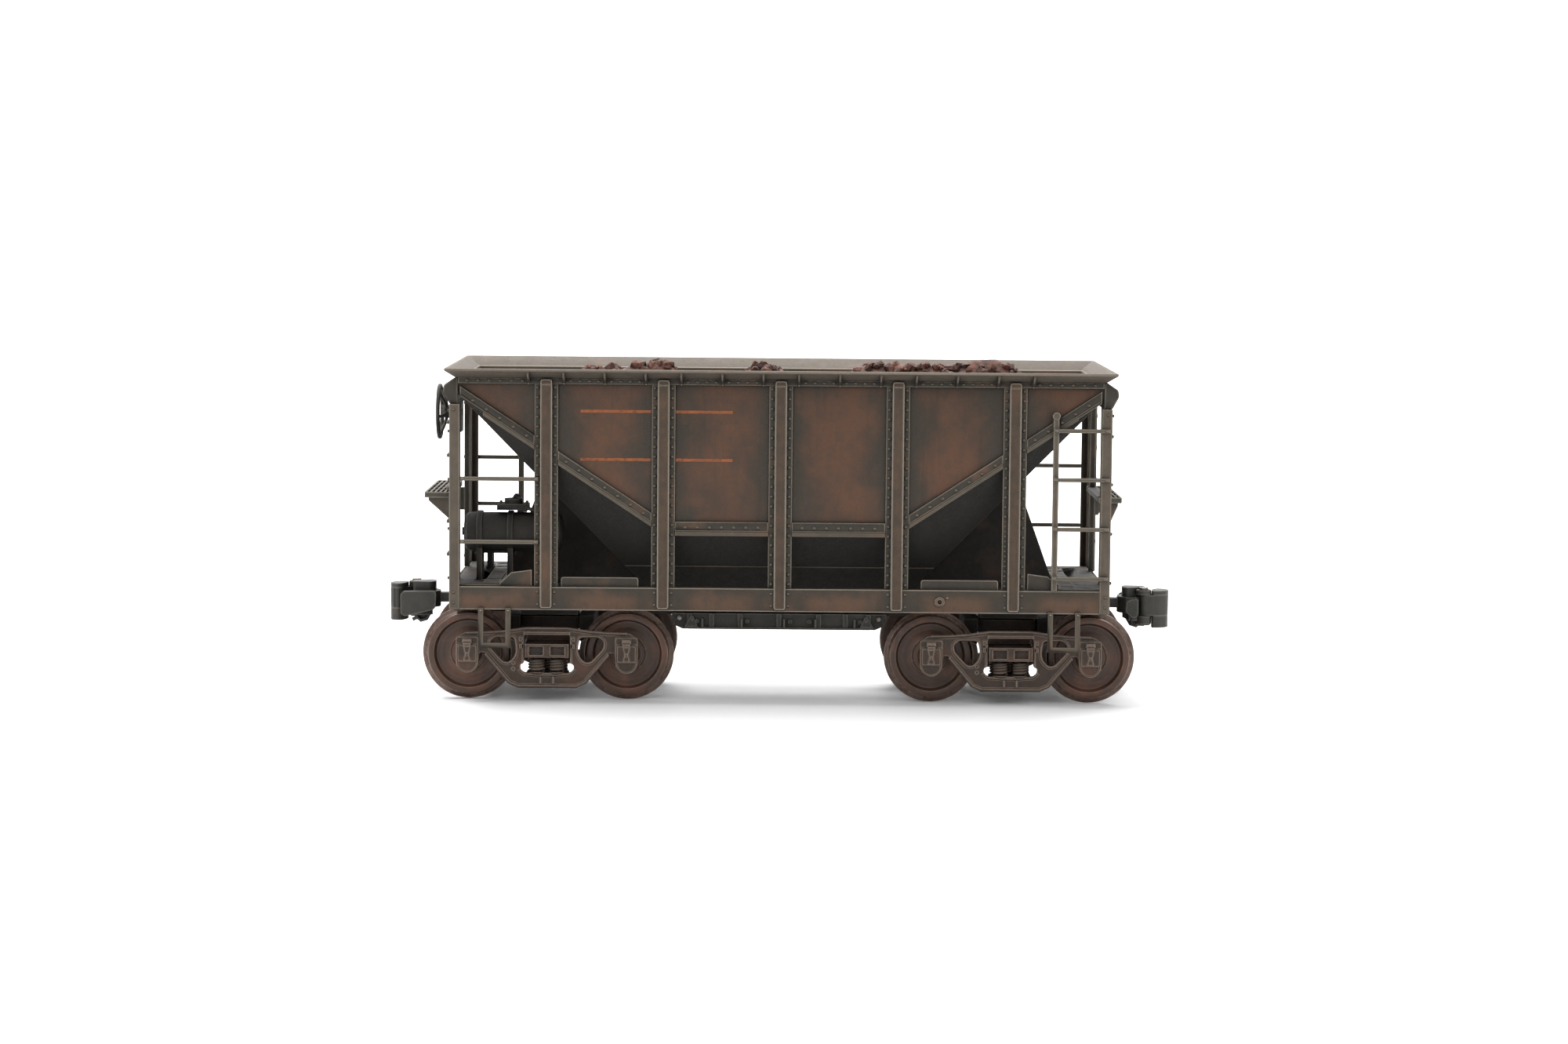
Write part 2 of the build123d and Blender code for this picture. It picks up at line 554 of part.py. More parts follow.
def side_frame(name, cx, side):
    """Cast side frame with its two journal boxes, on the -Y or +Y side."""
    inner = side * FRAME_Y
    depth = 2.0
    face_y = inner if side < 0 else inner + depth
    half = [
        (0, 16.0), (4.5, 16.0), (9.0, 15.3), (13.0, 15.0), (17.6, 14.9), (18.8, 14.2),
        (19.5, 12.6), (19.5, 8.6), (18.8, 6.9), (17.0, 6.0), (15.2, 6.9), (14.5, 8.6),
        (14.4, 10.6), (13.0, 10.5), (8.0, 4.1), (6.2, 3.2), (0, 3.2),
    ]
    window = [
        (6.4, 12.6), (7.0, 14.1), (11.0, 14.2), (12.5, 12.8), (12.2, 11.3),
        (9.6, 8.55), (8.3, 8.3), (7.0, 9.3), (6.4, 10.9),
    ]
    nest = [(4.95, 14.5), (4.95, 8.3), (5.75, 8.1), (5.75, 6.9), (5.1, 6.2)]
    with BuildPart() as casting:
        outline = [(cx + x, z) for x, z in half] + [(cx - x, z) for x, z in reversed(half[1:-1])]
        prism(side_plane(face_y), outline, depth)
        for end in (-1, 1):
            prism(side_plane(face_y + 1), [(cx + end * x, z) for x, z in window], depth + 2, mode=Mode.SUBTRACT)
        opening = [(cx + x, z) for x, z in nest] + [(cx - x, z) for x, z in reversed(nest)]
        prism(side_plane(face_y + 1), opening, depth + 2, mode=Mode.SUBTRACT)
        shelf_low, shelf_high = sorted((side * 14.8, inner))
        block((cx - 4.6, shelf_low, 5.4), (cx + 4.6, shelf_high, 6.2))
        box_y = face_y + 0.7 if side > 0 else face_y - depth
        for end in (-1, 1):
            jx = cx + end * AXLE_X
            with BuildSketch(side_plane(box_y)):
                with Locations((jx, 10.5)):
                    Rectangle(4.8, 3.9)
                with Locations((jx, 8.55)):
                    Circle(2.4)
            extrude(amount=0.7)
            bore_y = inner - 1 if side > 0 else inner + 1
            rod((jx, bore_y, AXLE_Z), (0, side, 0), 2.4, JOURNAL_R + RUN_GAP, mode=Mode.SUBTRACT)
    save(casting, name)


def spring_nest(name, cx):
    """Coil springs under both bolster ends, each as a grooved column."""
    with BuildPart() as nest:
        for y, offsets, radius in ((19.3, (-2.1, 2.1), 1.65), (16.2, (-3.0, 0, 3.0), 1.3)):
            for x in offsets:
                for side in (-1, 1):
                    rod((cx + x, side * y, 6.2), (0, 0, 1), 3.4, radius - 0.5)
                    for level in range(5):
                        rod((cx + x, side * y, 6.2 + 0.73 * level), (0, 0, 1), 0.48, radius)
    save(nest, name)


def axle(name, cx):
    with BuildPart() as shaft:
        rod((cx, -18.4, AXLE_Z), (0, 1, 0), 36.8, 1.2)
        rod((cx, -20.2, AXLE_Z), (0, 1, 0), 40.4, JOURNAL_R)
    save(shaft, name)


def wheel_pair(name, cx):
    """Two flanged wheels, turned about the axle's line."""
    profile = [
        (1.2, 14.2), (2.4, 14.2), (2.4, 15.1), (7.2, 14.9), (8.9, 14.5), (9.7, 14.55),
        (FLANGE_R, 14.9), (9.6, 15.35), (8.95, 15.65), (TREAD_R, 17.0), (7.4, 17.0),
        (7.2, 16.5), (2.4, 16.2), (2.3, 16.9), (1.2, 16.9),
    ]
    with BuildPart() as pair:
        with BuildSketch(Plane(origin=(cx, 0, AXLE_Z), x_dir=(1, 0, 0), z_dir=(0, 0, 1))):
            with BuildLine():
                Polyline(*profile, close=True)
            make_face()
        revolve(axis=Axis((cx, 0, AXLE_Z), (0, 1, 0)))
        mirror(about=Plane.XZ)
    save(pair, name)


for letter, cx in (("a", -TRUCK_X), ("b", TRUCK_X)):
    truck_bolster("truck_" + letter + "_bolster", cx)
    side_frame("truck_" + letter + "_frame_near", cx, -1)
    side_frame("truck_" + letter + "_frame_far", cx, 1)
    spring_nest("truck_" + letter + "_springs", cx)

AXLES = [truck + offset for truck in (-TRUCK_X, TRUCK_X) for offset in (-AXLE_X, AXLE_X)]
for number, centre in enumerate(AXLES, 1):
    axle("axle_" + str(number), centre)
    wheel_pair("wheels_" + str(number), centre)

# ---------------------------------------------------------------- couplers
SHANK_LOW = HOOK_Z - 1.1
SHANK_HIGH = HOOK_Z + 1.1
with BuildPart() as one_draft_box:
    block((58.5, -DRAFT_HALF, DRAFT_LOW), (71.3, DRAFT_HALF, DRAFT_HIGH))
    flare = [(58.9 + 1.5, -3.8), (71.4, -3.8), (71.4, 3.8), (58.9 + 1.5, 3.8)]
    prism(Plane.XY.offset(SHANK_LOW - 0.2), flare, 2.6, mode=Mode.SUBTRACT)
    rod((DRAFT_X, 0, DRAFT_LOW), (0, 0, 1), DRAFT_HIGH - DRAFT_LOW, 1.0)
draft_boxes = turned(one_draft_box)
save(draft_boxes, "draft_boxes")

JAW_LOW = 17.75
JAW_HIGH = 22.25
EAR_R = 1.75
with BuildPart() as coupler_form:
    rod((DRAFT_X, 0, SHANK_LOW), (0, 0, 1), 2.2, 2.2)
    block((DRAFT_X, -1.2, SHANK_LOW), (75.0, 1.2, SHANK_HIGH))
    head = [
        (74.0, 1.6), (75.4, 3.8), (78.0, 4.8), (82.0, 4.8), (82.3, 4.2), (81.0, 3.2),
        (79.3, 1.2), (79.0, -0.6), (78.2, -1.3), (77.6, -4.6), (75.6, -4.2), (74.0, -1.6),
    ]
    prism(Plane.XY.offset(16.4), head, 5.5)
    crown = [(75.0, 1.4), (76.0, 2.4), (80.0, 2.0), (80.3, -0.6), (79.4, -1.7), (76.0, -3.0), (75.0, -2.0)]
    prism(Plane.XY.offset(21.9), crown, 1.9)
    prism(side_plane(8), [(82.5, 22.2), (81.2, 22.2), (82.5, 20.9)], 16, mode=Mode.SUBTRACT)
    prism(side_plane(8), [(82.5, 16.2), (80.9, 16.2), (82.5, 17.6)], 16, mode=Mode.SUBTRACT)
    prism(side_plane(8), [(73.5, 16.0), (73.5, 18.4), (74.4, 18.2), (79.0, 16.0)], 16, mode=Mode.SUBTRACT)
    rod((KNUCKLE_X, KNUCKLE_Y, JAW_HIGH + TINY), (0, 0, 1), 1.15, EAR_R)
    rod((KNUCKLE_X, KNUCKLE_Y, 15.6), (0, 0, 1), JAW_LOW - TINY - 15.6, EAR_R)
    block((76.2, -4.0, 16.4), (KNUCKLE_X, -1.4, JAW_LOW - TINY))
    rod((DRAFT_X, 0, 15), (0, 0, 1), 10, 1.0 + RUN_GAP, mode=Mode.SUBTRACT)
    rod((KNUCKLE_X, KNUCKLE_Y, 10), (0, 0, 1), 20, 0.6, mode=Mode.SUBTRACT)
    swing_room = [(78.35, -1.4), (79.3, -0.6), (81.6, -1.4), (82.0, -5.2), (77.6, -5.2), (78.0, -3.0)]
    prism(Plane.XY.offset(JAW_LOW - TINY), swing_room, JAW_HIGH - JAW_LOW + 2 * TINY, mode=Mode.SUBTRACT)

with BuildPart() as knuckle_form:
    jaw = [
        (78.6, -2.0), (80.4, -1.8), (81.9, -0.4), (82.5, 1.2), (83.5, 1.7), (84.8, 0.8),
        (85.3, -1.2), (84.6, -3.0), (83.0, -4.1), (79.6, -4.4), (78.6, -3.7),
    ]
    prism(Plane.XY.offset(15.1), jaw, 8.1)
    rod((KNUCKLE_X, KNUCKLE_Y, JAW_HIGH), (0, 0, 1), 2, EAR_R + 0.15, mode=Mode.SUBTRACT)
    rod((KNUCKLE_X, KNUCKLE_Y, JAW_LOW), (0, 0, -1), 3, EAR_R + 0.15, mode=Mode.SUBTRACT)
    rod((KNUCKLE_X, KNUCKLE_Y, 10), (0, 0, 1), 20, 0.6 + RUN_GAP, mode=Mode.SUBTRACT)

PIN_TOP = JAW_HIGH + TINY + 1.15
with BuildPart() as knuckle_pin_form:
    rod((KNUCKLE_X, KNUCKLE_Y, 15.6), (0, 0, 1), PIN_TOP - 15.6, 0.6)
    rod((KNUCKLE_X, KNUCKLE_Y, PIN_TOP), (0, 0, 1), 0.4, 1.0)


def at_end(form, name, turn):
    """One end's copy of a coupler piece, turned round the upright axis."""
    with BuildPart() as piece:
        add(form.part.rotate(Axis.Z, turn))
    save(piece, name)


for letter, turn in (("a", 180), ("b", 0)):
    at_end(coupler_form, "coupler_" + letter, turn)
    at_end(knuckle_form, "knuckle_" + letter, turn)
    at_end(knuckle_pin_form, "knuckle_pin_" + letter, turn)
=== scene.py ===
import json
import math
import random

import bmesh
import bpy
from mathutils import Matrix, Vector, noise


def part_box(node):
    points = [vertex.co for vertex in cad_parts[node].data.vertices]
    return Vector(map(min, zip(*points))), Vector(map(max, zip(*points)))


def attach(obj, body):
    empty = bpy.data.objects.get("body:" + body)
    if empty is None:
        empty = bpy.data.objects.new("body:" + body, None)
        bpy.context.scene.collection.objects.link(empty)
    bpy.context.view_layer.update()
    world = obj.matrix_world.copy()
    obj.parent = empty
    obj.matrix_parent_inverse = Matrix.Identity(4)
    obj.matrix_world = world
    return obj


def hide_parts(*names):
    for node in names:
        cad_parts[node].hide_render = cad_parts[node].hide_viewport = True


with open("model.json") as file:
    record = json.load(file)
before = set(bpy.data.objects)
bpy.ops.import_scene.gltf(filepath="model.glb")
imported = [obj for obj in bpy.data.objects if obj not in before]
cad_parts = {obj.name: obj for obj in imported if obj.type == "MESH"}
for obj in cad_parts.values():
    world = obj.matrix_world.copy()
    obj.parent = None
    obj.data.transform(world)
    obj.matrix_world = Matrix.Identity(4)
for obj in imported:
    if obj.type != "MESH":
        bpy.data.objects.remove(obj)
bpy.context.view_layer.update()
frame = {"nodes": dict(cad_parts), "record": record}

# A weathered model ore hopper car. Lengths in this script are millimetres in the
# car's own frame: +X along the car, +Y across it, +Z up, wheels' flanges on z = 0.
# Meshes are scaled to metres as they are made.
MM = 0.001
SIDES = (-1, 1)


def corners(node):
    """Lowest and highest corner of a CAD node, in millimetres."""
    low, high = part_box(node)
    return low / MM, high / MM


# ---------------------------------------------------------------- sizes taken from the frame
POST_LOW, POST_HIGH = corners("side_posts")
SILL_LOW, SILL_HIGH = corners("side_sills")
BAND_HIGH = corners("side_top_bands")[1]
HOPPER_HIGH = corners("hopper_shell")[1]
CORNER_HIGH = corners("corner_posts")[1]

SIDE_Y = HOPPER_HIGH.y           # outer face of the side sheets
BAND_Y = BAND_HIGH.y             # outer face of the riveted bands
POST_Y = POST_HIGH.y             # outer plane of the posts
SILL_Y = SILL_HIGH.y             # outer face of the side sills
END_X = CORNER_HIGH.x            # outer face of the corner posts
BODY_X = HOPPER_HIGH.x           # half length of the hopper at its top
POST_PITCH = (POST_HIGH.x - POST_LOW.x - 5.0) / 4
FLANGE_HALF = 2.5                # half width of a post across its flanges
CROWN_HALF = 1.12                # half width of a post's crown, to the middle of its edge
FLANGE_Y = SIDE_Y + 0.46         # outer face of the post flanges
POSTS = [POST_PITCH * n for n in (-2, -1, 0, 1, 2)]
SEAM_X = 24.5                    # where the band under the side sheets turns upward
SEAM_Z = 39.4                    # height of that band's top edge in the middle of the car
BAND_RISE = 0.6537               # slope of its diagonal part
BAND_HEIGHT = 2.6

TRUCK_X = sum(c.x for c in corners("truck_b_bolster")) / 2
AXLES = [sum(c.x for c in corners("axle_%d" % n)) / 2 for n in (1, 2, 3, 4)]
AXLE_Z = sum(c.z for c in corners("axle_1")) / 2


# ---------------------------------------------------------------- mesh building
class Piece:
    """A mesh under construction, in millimetres."""

    def __init__(self, name):
        self.name = name
        self.bm = bmesh.new()
        self.slot_index = 0

    def _faces(self, faces):
        for face in faces:
            face.material_index = self.slot_index

    def box(self, low, high):
        made = bmesh.ops.create_cube(self.bm, size=1.0)
        size = [b - a for a, b in zip(low, high)]
        centre = [(a + b) / 2 for a, b in zip(low, high)]
        for vert in made["verts"]:
            vert.co = Vector(c + v * s for c, v, s in zip(centre, vert.co, size))
        self._faces({f for v in made["verts"] for f in v.link_faces})

    def plate(self, outline, axis, start, stop, holes=()):
        """A flat shape with holes, given thickness along an axis ('x', 'y' or 'z')."""
        def place(point, depth):
            u, v = point
            return {"x": (depth, u, v), "y": (u, depth, v), "z": (u, v, depth)}[axis]
        flat = bmesh.new()
        edges = []
        for loop in (outline, *holes):
            verts = [flat.verts.new(place(p, start)) for p in loop]
            edges += [flat.edges.new((verts[i], verts[i - 1])) for i in range(len(verts))]
        bmesh.ops.triangle_fill(flat, edges=edges, use_beauty=True)
        grown = bmesh.ops.extrude_face_region(flat, geom=list(flat.faces))
        moved = [g for g in grown["geom"] if isinstance(g, bmesh.types.BMVert)]
        bmesh.ops.translate(flat, verts=moved, vec=Vector(place((0, 0), stop - start)))
        bmesh.ops.recalc_face_normals(flat, faces=flat.faces)
        self.join(flat)

    def lathe(self, profile, centre, axis, segments=48):
        """A closed outline of (along, radius) points turned about an axis."""
        axis = Vector(axis).normalized()
        across = axis.orthogonal().normalized()
        other = axis.cross(across)
        centre = Vector(centre)
        rings = []
        for n in range(segments):
            turn = 2 * math.pi * n / segments
            out = across * math.cos(turn) + other * math.sin(turn)
            ring = []
            for along, radius in profile:
                if radius < 1e-6 and n:
                    ring.append(rings[0][len(ring)])
                else:
                    ring.append(self.bm.verts.new(centre + axis * along + out * radius))
            rings.append(ring)
        count = len(profile)
        made = []
        for n in range(segments):
            ring, following = rings[n], rings[(n + 1) % segments]
            for i in range(count):
                j = (i + 1) % count
                loop = []
                for vert in (ring[i], ring[j], following[j], following[i]):
                    if vert not in loop:
                        loop.append(vert)
                if len(loop) > 2:
                    made.append(self.bm.faces.new(loop))
        bmesh.ops.recalc_face_normals(self.bm, faces=made)
        self._faces(made)

    def tube(self, path, radius, sides=10, closed=False):
        """A round bar along a list of points."""
        points = [Vector(p) for p in path]
        count = len(points)
        rings = []
        guide = None
        for i, point in enumerate(points):
            before = points[i - 1] if (i or closed) else points[0]
            after = points[(i + 1) % count] if (i + 1 < count or closed) else points[-1]
            forward = (after - before).normalized()
            if guide is None:
                guide = forward.orthogonal().normalized()
            guide = (guide - forward * guide.dot(forward)).normalized()
            other = forward.cross(guide)
            ring = []
            for n in range(sides):
                turn = 2 * math.pi * n / sides
                out = guide * math.cos(turn) + other * math.sin(turn)
                ring.append(self.bm.verts.new(point + out * radius))
            rings.append(ring)
        made = []
        for i in range(count if closed else count - 1):
            ring, following = rings[i], rings[(i + 1) % count]
            for n in range(sides):
                m = (n + 1) % sides
                made.append(self.bm.faces.new((ring[n], ring[m], following[m], following[n])))
        if not closed:
            made.append(self.bm.faces.new(list(reversed(rings[0]))))
            made.append(self.bm.faces.new(rings[-1]))
        self._faces(made)

    def dome(self, centre, normal, radius, height, sides=10, rings=3):
        """A rivet head: a closed dome standing on a surface, sunk a little into it."""
        normal = Vector(normal).normalized()
        across = normal.orthogonal().normalized()
        other = normal.cross(across)
        centre = Vector(centre)
        layers = [(-0.3 * height, radius)]
        for n in range(rings):
            turn = 0.5 * math.pi * n / rings
            layers.append((height * math.sin(turn), radius * math.cos(turn)))
        loops = []
        for along, across_r in layers:
            loop = []
            for n in range(sides):
                turn = 2 * math.pi * n / sides
                out = across * math.cos(turn) + other * math.sin(turn)
                loop.append(self.bm.verts.new(centre + normal * along + out * across_r))
            loops.append(loop)
        made = [self.bm.faces.new(list(reversed(loops[0])))]
        for low, high in zip(loops[:-1], loops[1:]):
            for n in range(sides):
                m = (n + 1) % sides
                made.append(self.bm.faces.new((low[n], low[m], high[m], high[n])))
        top = self.bm.verts.new(centre + normal * height)
        for n in range(sides):
            made.append(self.bm.faces.new((loops[-1][n], loops[-1][(n + 1) % sides], top)))
        self._faces(made)

    def bolt(self, centre, normal, radius, height):
        """A hexagonal bolt head or nut on a round washer."""
        self.lathe([(-0.1, 0), (-0.1, radius * 1.25), (height * 0.25, radius * 1.25), (height * 0.25, 0)],
                   centre, normal, 16)
        self.lathe([(0, 0), (0, radius), (height * 0.85, radius), (height, radius * 0.8), (height, 0)],
                   centre, normal, 6)

    def join(self, other):
        """Takes in another bmesh."""
        mesh = bpy.data.meshes.new("part")
        other.to_mesh(mesh)
        other.free()
        known = len(self.bm.faces)
        self.bm.from_mesh(mesh)
        bpy.data.meshes.remove(mesh)
        self.bm.faces.ensure_lookup_table()
        self._faces(self.bm.faces[known:])

    def half_turn(self):
        """Turns the piece half round the car's upright axis."""
        bmesh.ops.rotate(self.bm, verts=self.bm.verts, matrix=Matrix.Rotation(math.pi, 3, "Z"))

    def turned(self):
        """Adds a copy turned half round the car's upright axis."""
        copy = self.bm.copy()
        bmesh.ops.rotate(copy, verts=copy.verts, matrix=Matrix.Rotation(math.pi, 3, "Z"))
        self.join(copy)

    def done(self, body, slot, *materials, bevel=0.0, stands_for=(), segments=2, angle=35):
        """Makes the object, gives it its body and materials, and rounds its edges.

        Without materials the piece takes the one named after its slot.
        """
        for vert in self.bm.verts:
            vert.co *= MM
        mesh = bpy.data.meshes.new(self.name)
        self.bm.to_mesh(mesh)
        self.bm.free()
        piece = bpy.data.objects.new(self.name, mesh)
        bpy.context.scene.collection.objects.link(piece)
        for material in materials or (MATERIALS[slot],):
            mesh.materials.append(material)
        finish_edges(piece, bevel, segments, angle)
        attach(piece, body)
        if stands_for:
            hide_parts(*stands_for)
        return piece


def finish_edges(piece, bevel, segments=2, angle=35):
    """Smooth shading, with the sharp edges rounded by a small bevel."""
    for face in piece.data.polygons:
        face.use_smooth = True
    if bevel:
        rounding = piece.modifiers.new("rounding", "BEVEL")
        rounding.width = bevel * MM
        rounding.segments = segments
        rounding.limit_method = "ANGLE"
        rounding.angle_limit = math.radians(angle)
        rounding.harden_normals = True
        rounding.use_clamp_overlap = True
    else:
        piece.data.set_sharp_from_angle(angle=math.radians(angle))


def arc(cx, cy, radius, start, stop, steps=8):
    """Points on a circular arc, in degrees."""
    turns = [math.radians(start + (stop - start) * n / steps) for n in range(steps + 1)]
    return [(cx + radius * math.cos(t), cy + radius * math.sin(t)) for t in turns]


def rounded(points, radius, steps=4):
    """A polygon with its corners rounded."""
    out = []
    count = len(points)
    for i, point in enumerate(points):
        here = Vector(point)
        back = Vector(points[i - 1]) - here
        ahead = Vector(points[(i + 1) % count]) - here
        reach = min(radius, back.length * 0.45, ahead.length * 0.45)
        first = here + back.normalized() * reach
        last = here + ahead.normalized() * reach
        for n in range(steps + 1):
            t = n / steps
            bend = first * (1 - t) ** 2 + here * 2 * t * (1 - t) + last * t ** 2
            out.append((bend.x, bend.y))
    return out


# ---------------------------------------------------------------- materials
class Shader:
    """A node material with short calls for the nodes used here."""

    def __init__(self, name):
        self.material = bpy.data.materials.new(name)
        self.material.use_nodes = True
        self.tree = self.material.node_tree
        self.tree.nodes.clear()
        self.out = self.tree.nodes.new("ShaderNodeOutputMaterial")
        self.bsdf = self.tree.nodes.new("ShaderNodeBsdfPrincipled")
        self.link(self.bsdf.outputs[0], self.out.inputs["Surface"])
        self.place = self.tree.nodes.new("ShaderNodeTexCoord").outputs["Object"]

    def link(self, source, target):
        self.tree.links.new(source, target)

    def give(self, socket, value):
        if isinstance(value, bpy.types.NodeSocket):
            self.link(value, socket)
        elif isinstance(value, (tuple, list)) and len(value) == 3 and socket.type == "RGBA":
            socket.default_value = (*value, 1)
        else:
            socket.default_value = value

    def math(self, operation, a, b=0.0, clamp=False):
        node = self.tree.nodes.new("ShaderNodeMath")
        node.operation = operation
        node.use_clamp = clamp
        self.give(node.inputs[0], a)
        self.give(node.inputs[1], b)
        return node.outputs[0]

    def noise(self, size, detail=3.0, stretch=(1, 1, 1), roughness=0.55):
        """Noise whose features are about `size` millimetres."""
        scale = self.tree.nodes.new("ShaderNodeMapping")
        scale.inputs["Scale"].default_value = [s / (size * MM) for s in stretch]
        self.link(self.place, scale.inputs["Vector"])
        node = self.tree.nodes.new("ShaderNodeTexNoise")
        node.inputs["Scale"].default_value = 1.0
        node.inputs["Detail"].default_value = detail
        node.inputs["Roughness"].default_value = roughness
        self.link(scale.outputs[0], node.inputs["Vector"])
        return node.outputs["Fac"]

    def range(self, value, low, high, start=0.0, stop=1.0):
        """Smooth step from low to high, mapped to start..stop."""
        node = self.tree.nodes.new("ShaderNodeMapRange")
        node.interpolation_type = "SMOOTHSTEP"
        self.give(node.inputs["Value"], value)
        node.inputs["From Min"].default_value = low
        node.inputs["From Max"].default_value = high
        node.inputs["To Min"].default_value = start
        node.inputs["To Max"].default_value = stop
        return node.outputs["Result"]

    def mix(self, amount, a, b):
        node = self.tree.nodes.new("ShaderNodeMix")
        node.data_type = "RGBA"
        self.give(node.inputs[0], amount)
        self.give(node.inputs[6], a)
        self.give(node.inputs[7], b)
        return node.outputs[2]

    def coordinate(self, letter):
        """One coordinate of the car's frame, in millimetres."""
        node = self.tree.nodes.new("ShaderNodeSeparateXYZ")
        self.link(self.place, node.inputs[0])
        return self.math("MULTIPLY", node.outputs[letter], 1 / MM)

    def hollow(self, reach, low=0.35, high=0.95):
        """0 in recesses and 1 on open faces."""
        node = self.tree.nodes.new("ShaderNodeAmbientOcclusion")
        node.samples = 4
        node.inputs["Distance"].default_value = reach * MM
        return self.range(node.outputs["AO"], low, high)

    def edges(self, radius, low=0.0, high=0.07):
        """1 on sharp outer edges, 0 on flat faces."""
        bevel = self.tree.nodes.new("ShaderNodeBevel")
        bevel.samples = 4
        bevel.inputs["Radius"].default_value = radius * MM
        shape = self.tree.nodes.new("ShaderNodeNewGeometry")
        dot = self.tree.nodes.new("ShaderNodeVectorMath")
        dot.operation = "DOT_PRODUCT"
        self.link(bevel.outputs[0], dot.inputs[0])
        self.link(shape.outputs["Normal"], dot.inputs[1])
        return self.range(self.math("SUBTRACT", 1.0, dot.outputs["Value"]), low, high)

    def facing_down(self):
        """1 on faces that look straight down, 0 on upright ones, negative on top."""
        shape = self.tree.nodes.new("ShaderNodeNewGeometry")
        node = self.tree.nodes.new("ShaderNodeSeparateXYZ")
        self.link(shape.outputs["Normal"], node.inputs[0])
        return self.math("MULTIPLY", node.outputs["Z"], -1.0)

    def bump(self, height, depth):
        """Relief of a given depth in millimetres."""
        node = self.tree.nodes.new("ShaderNodeBump")
        node.inputs["Strength"].default_value = 1.0
        node.inputs["Distance"].default_value = depth * MM
        self.give(node.inputs["Height"], height)
        self.link(node.outputs[0], self.bsdf.inputs["Normal"])

    def finish(self, colour, roughness, metallic=0.0, specular=0.5):
        self.give(self.bsdf.inputs["Base Color"], colour)
        self.give(self.bsdf.inputs["Roughness"], roughness)
        self.bsdf.inputs["Metallic"].default_value = metallic
        self.bsdf.inputs["Specular IOR Level"].default_value = specular
        return self.material

    def clear_from_behind(self):
        """Lets a view from below the floor through, so that the underside can be seen."""
        shape = self.tree.nodes.new("ShaderNodeNewGeometry")
        clear = self.tree.nodes.new("ShaderNodeBsdfTransparent")
        either = self.tree.nodes.new("ShaderNodeMixShader")
        self.link(shape.outputs["Backfacing"], either.inputs[0])
        self.link(self.bsdf.outputs[0], either.inputs[1])
        self.link(clear.outputs[0], either.inputs[2])
        self.link(either.outputs[0], self.out.inputs["Surface"])


def bay_mask(shader):
    """1 in the middle of each bay between posts, 0 at the posts, along the whole car."""
    x = shader.coordinate("X")
    wave = shader.math("SINE", shader.math("MULTIPLY", x, math.pi / POST_PITCH))
    return shader.math("ABSOLUTE", wave)


def below_band(shader):
    """1 on the sheets below the riveted bands, where dark paint and painted shade go over the rust wash."""
    rise = shader.math("SUBTRACT", shader.math("ABSOLUTE", shader.coordinate("X")), SEAM_X)
    line = shader.math("MULTIPLY", shader.math("MAXIMUM", rise, 0.0), BAND_RISE)
    height = shader.math("SUBTRACT", shader.coordinate("Z"), line)
    return shader.range(height, SEAM_Z - 0.6, SEAM_Z - 2.0, 0.0, 0.85)


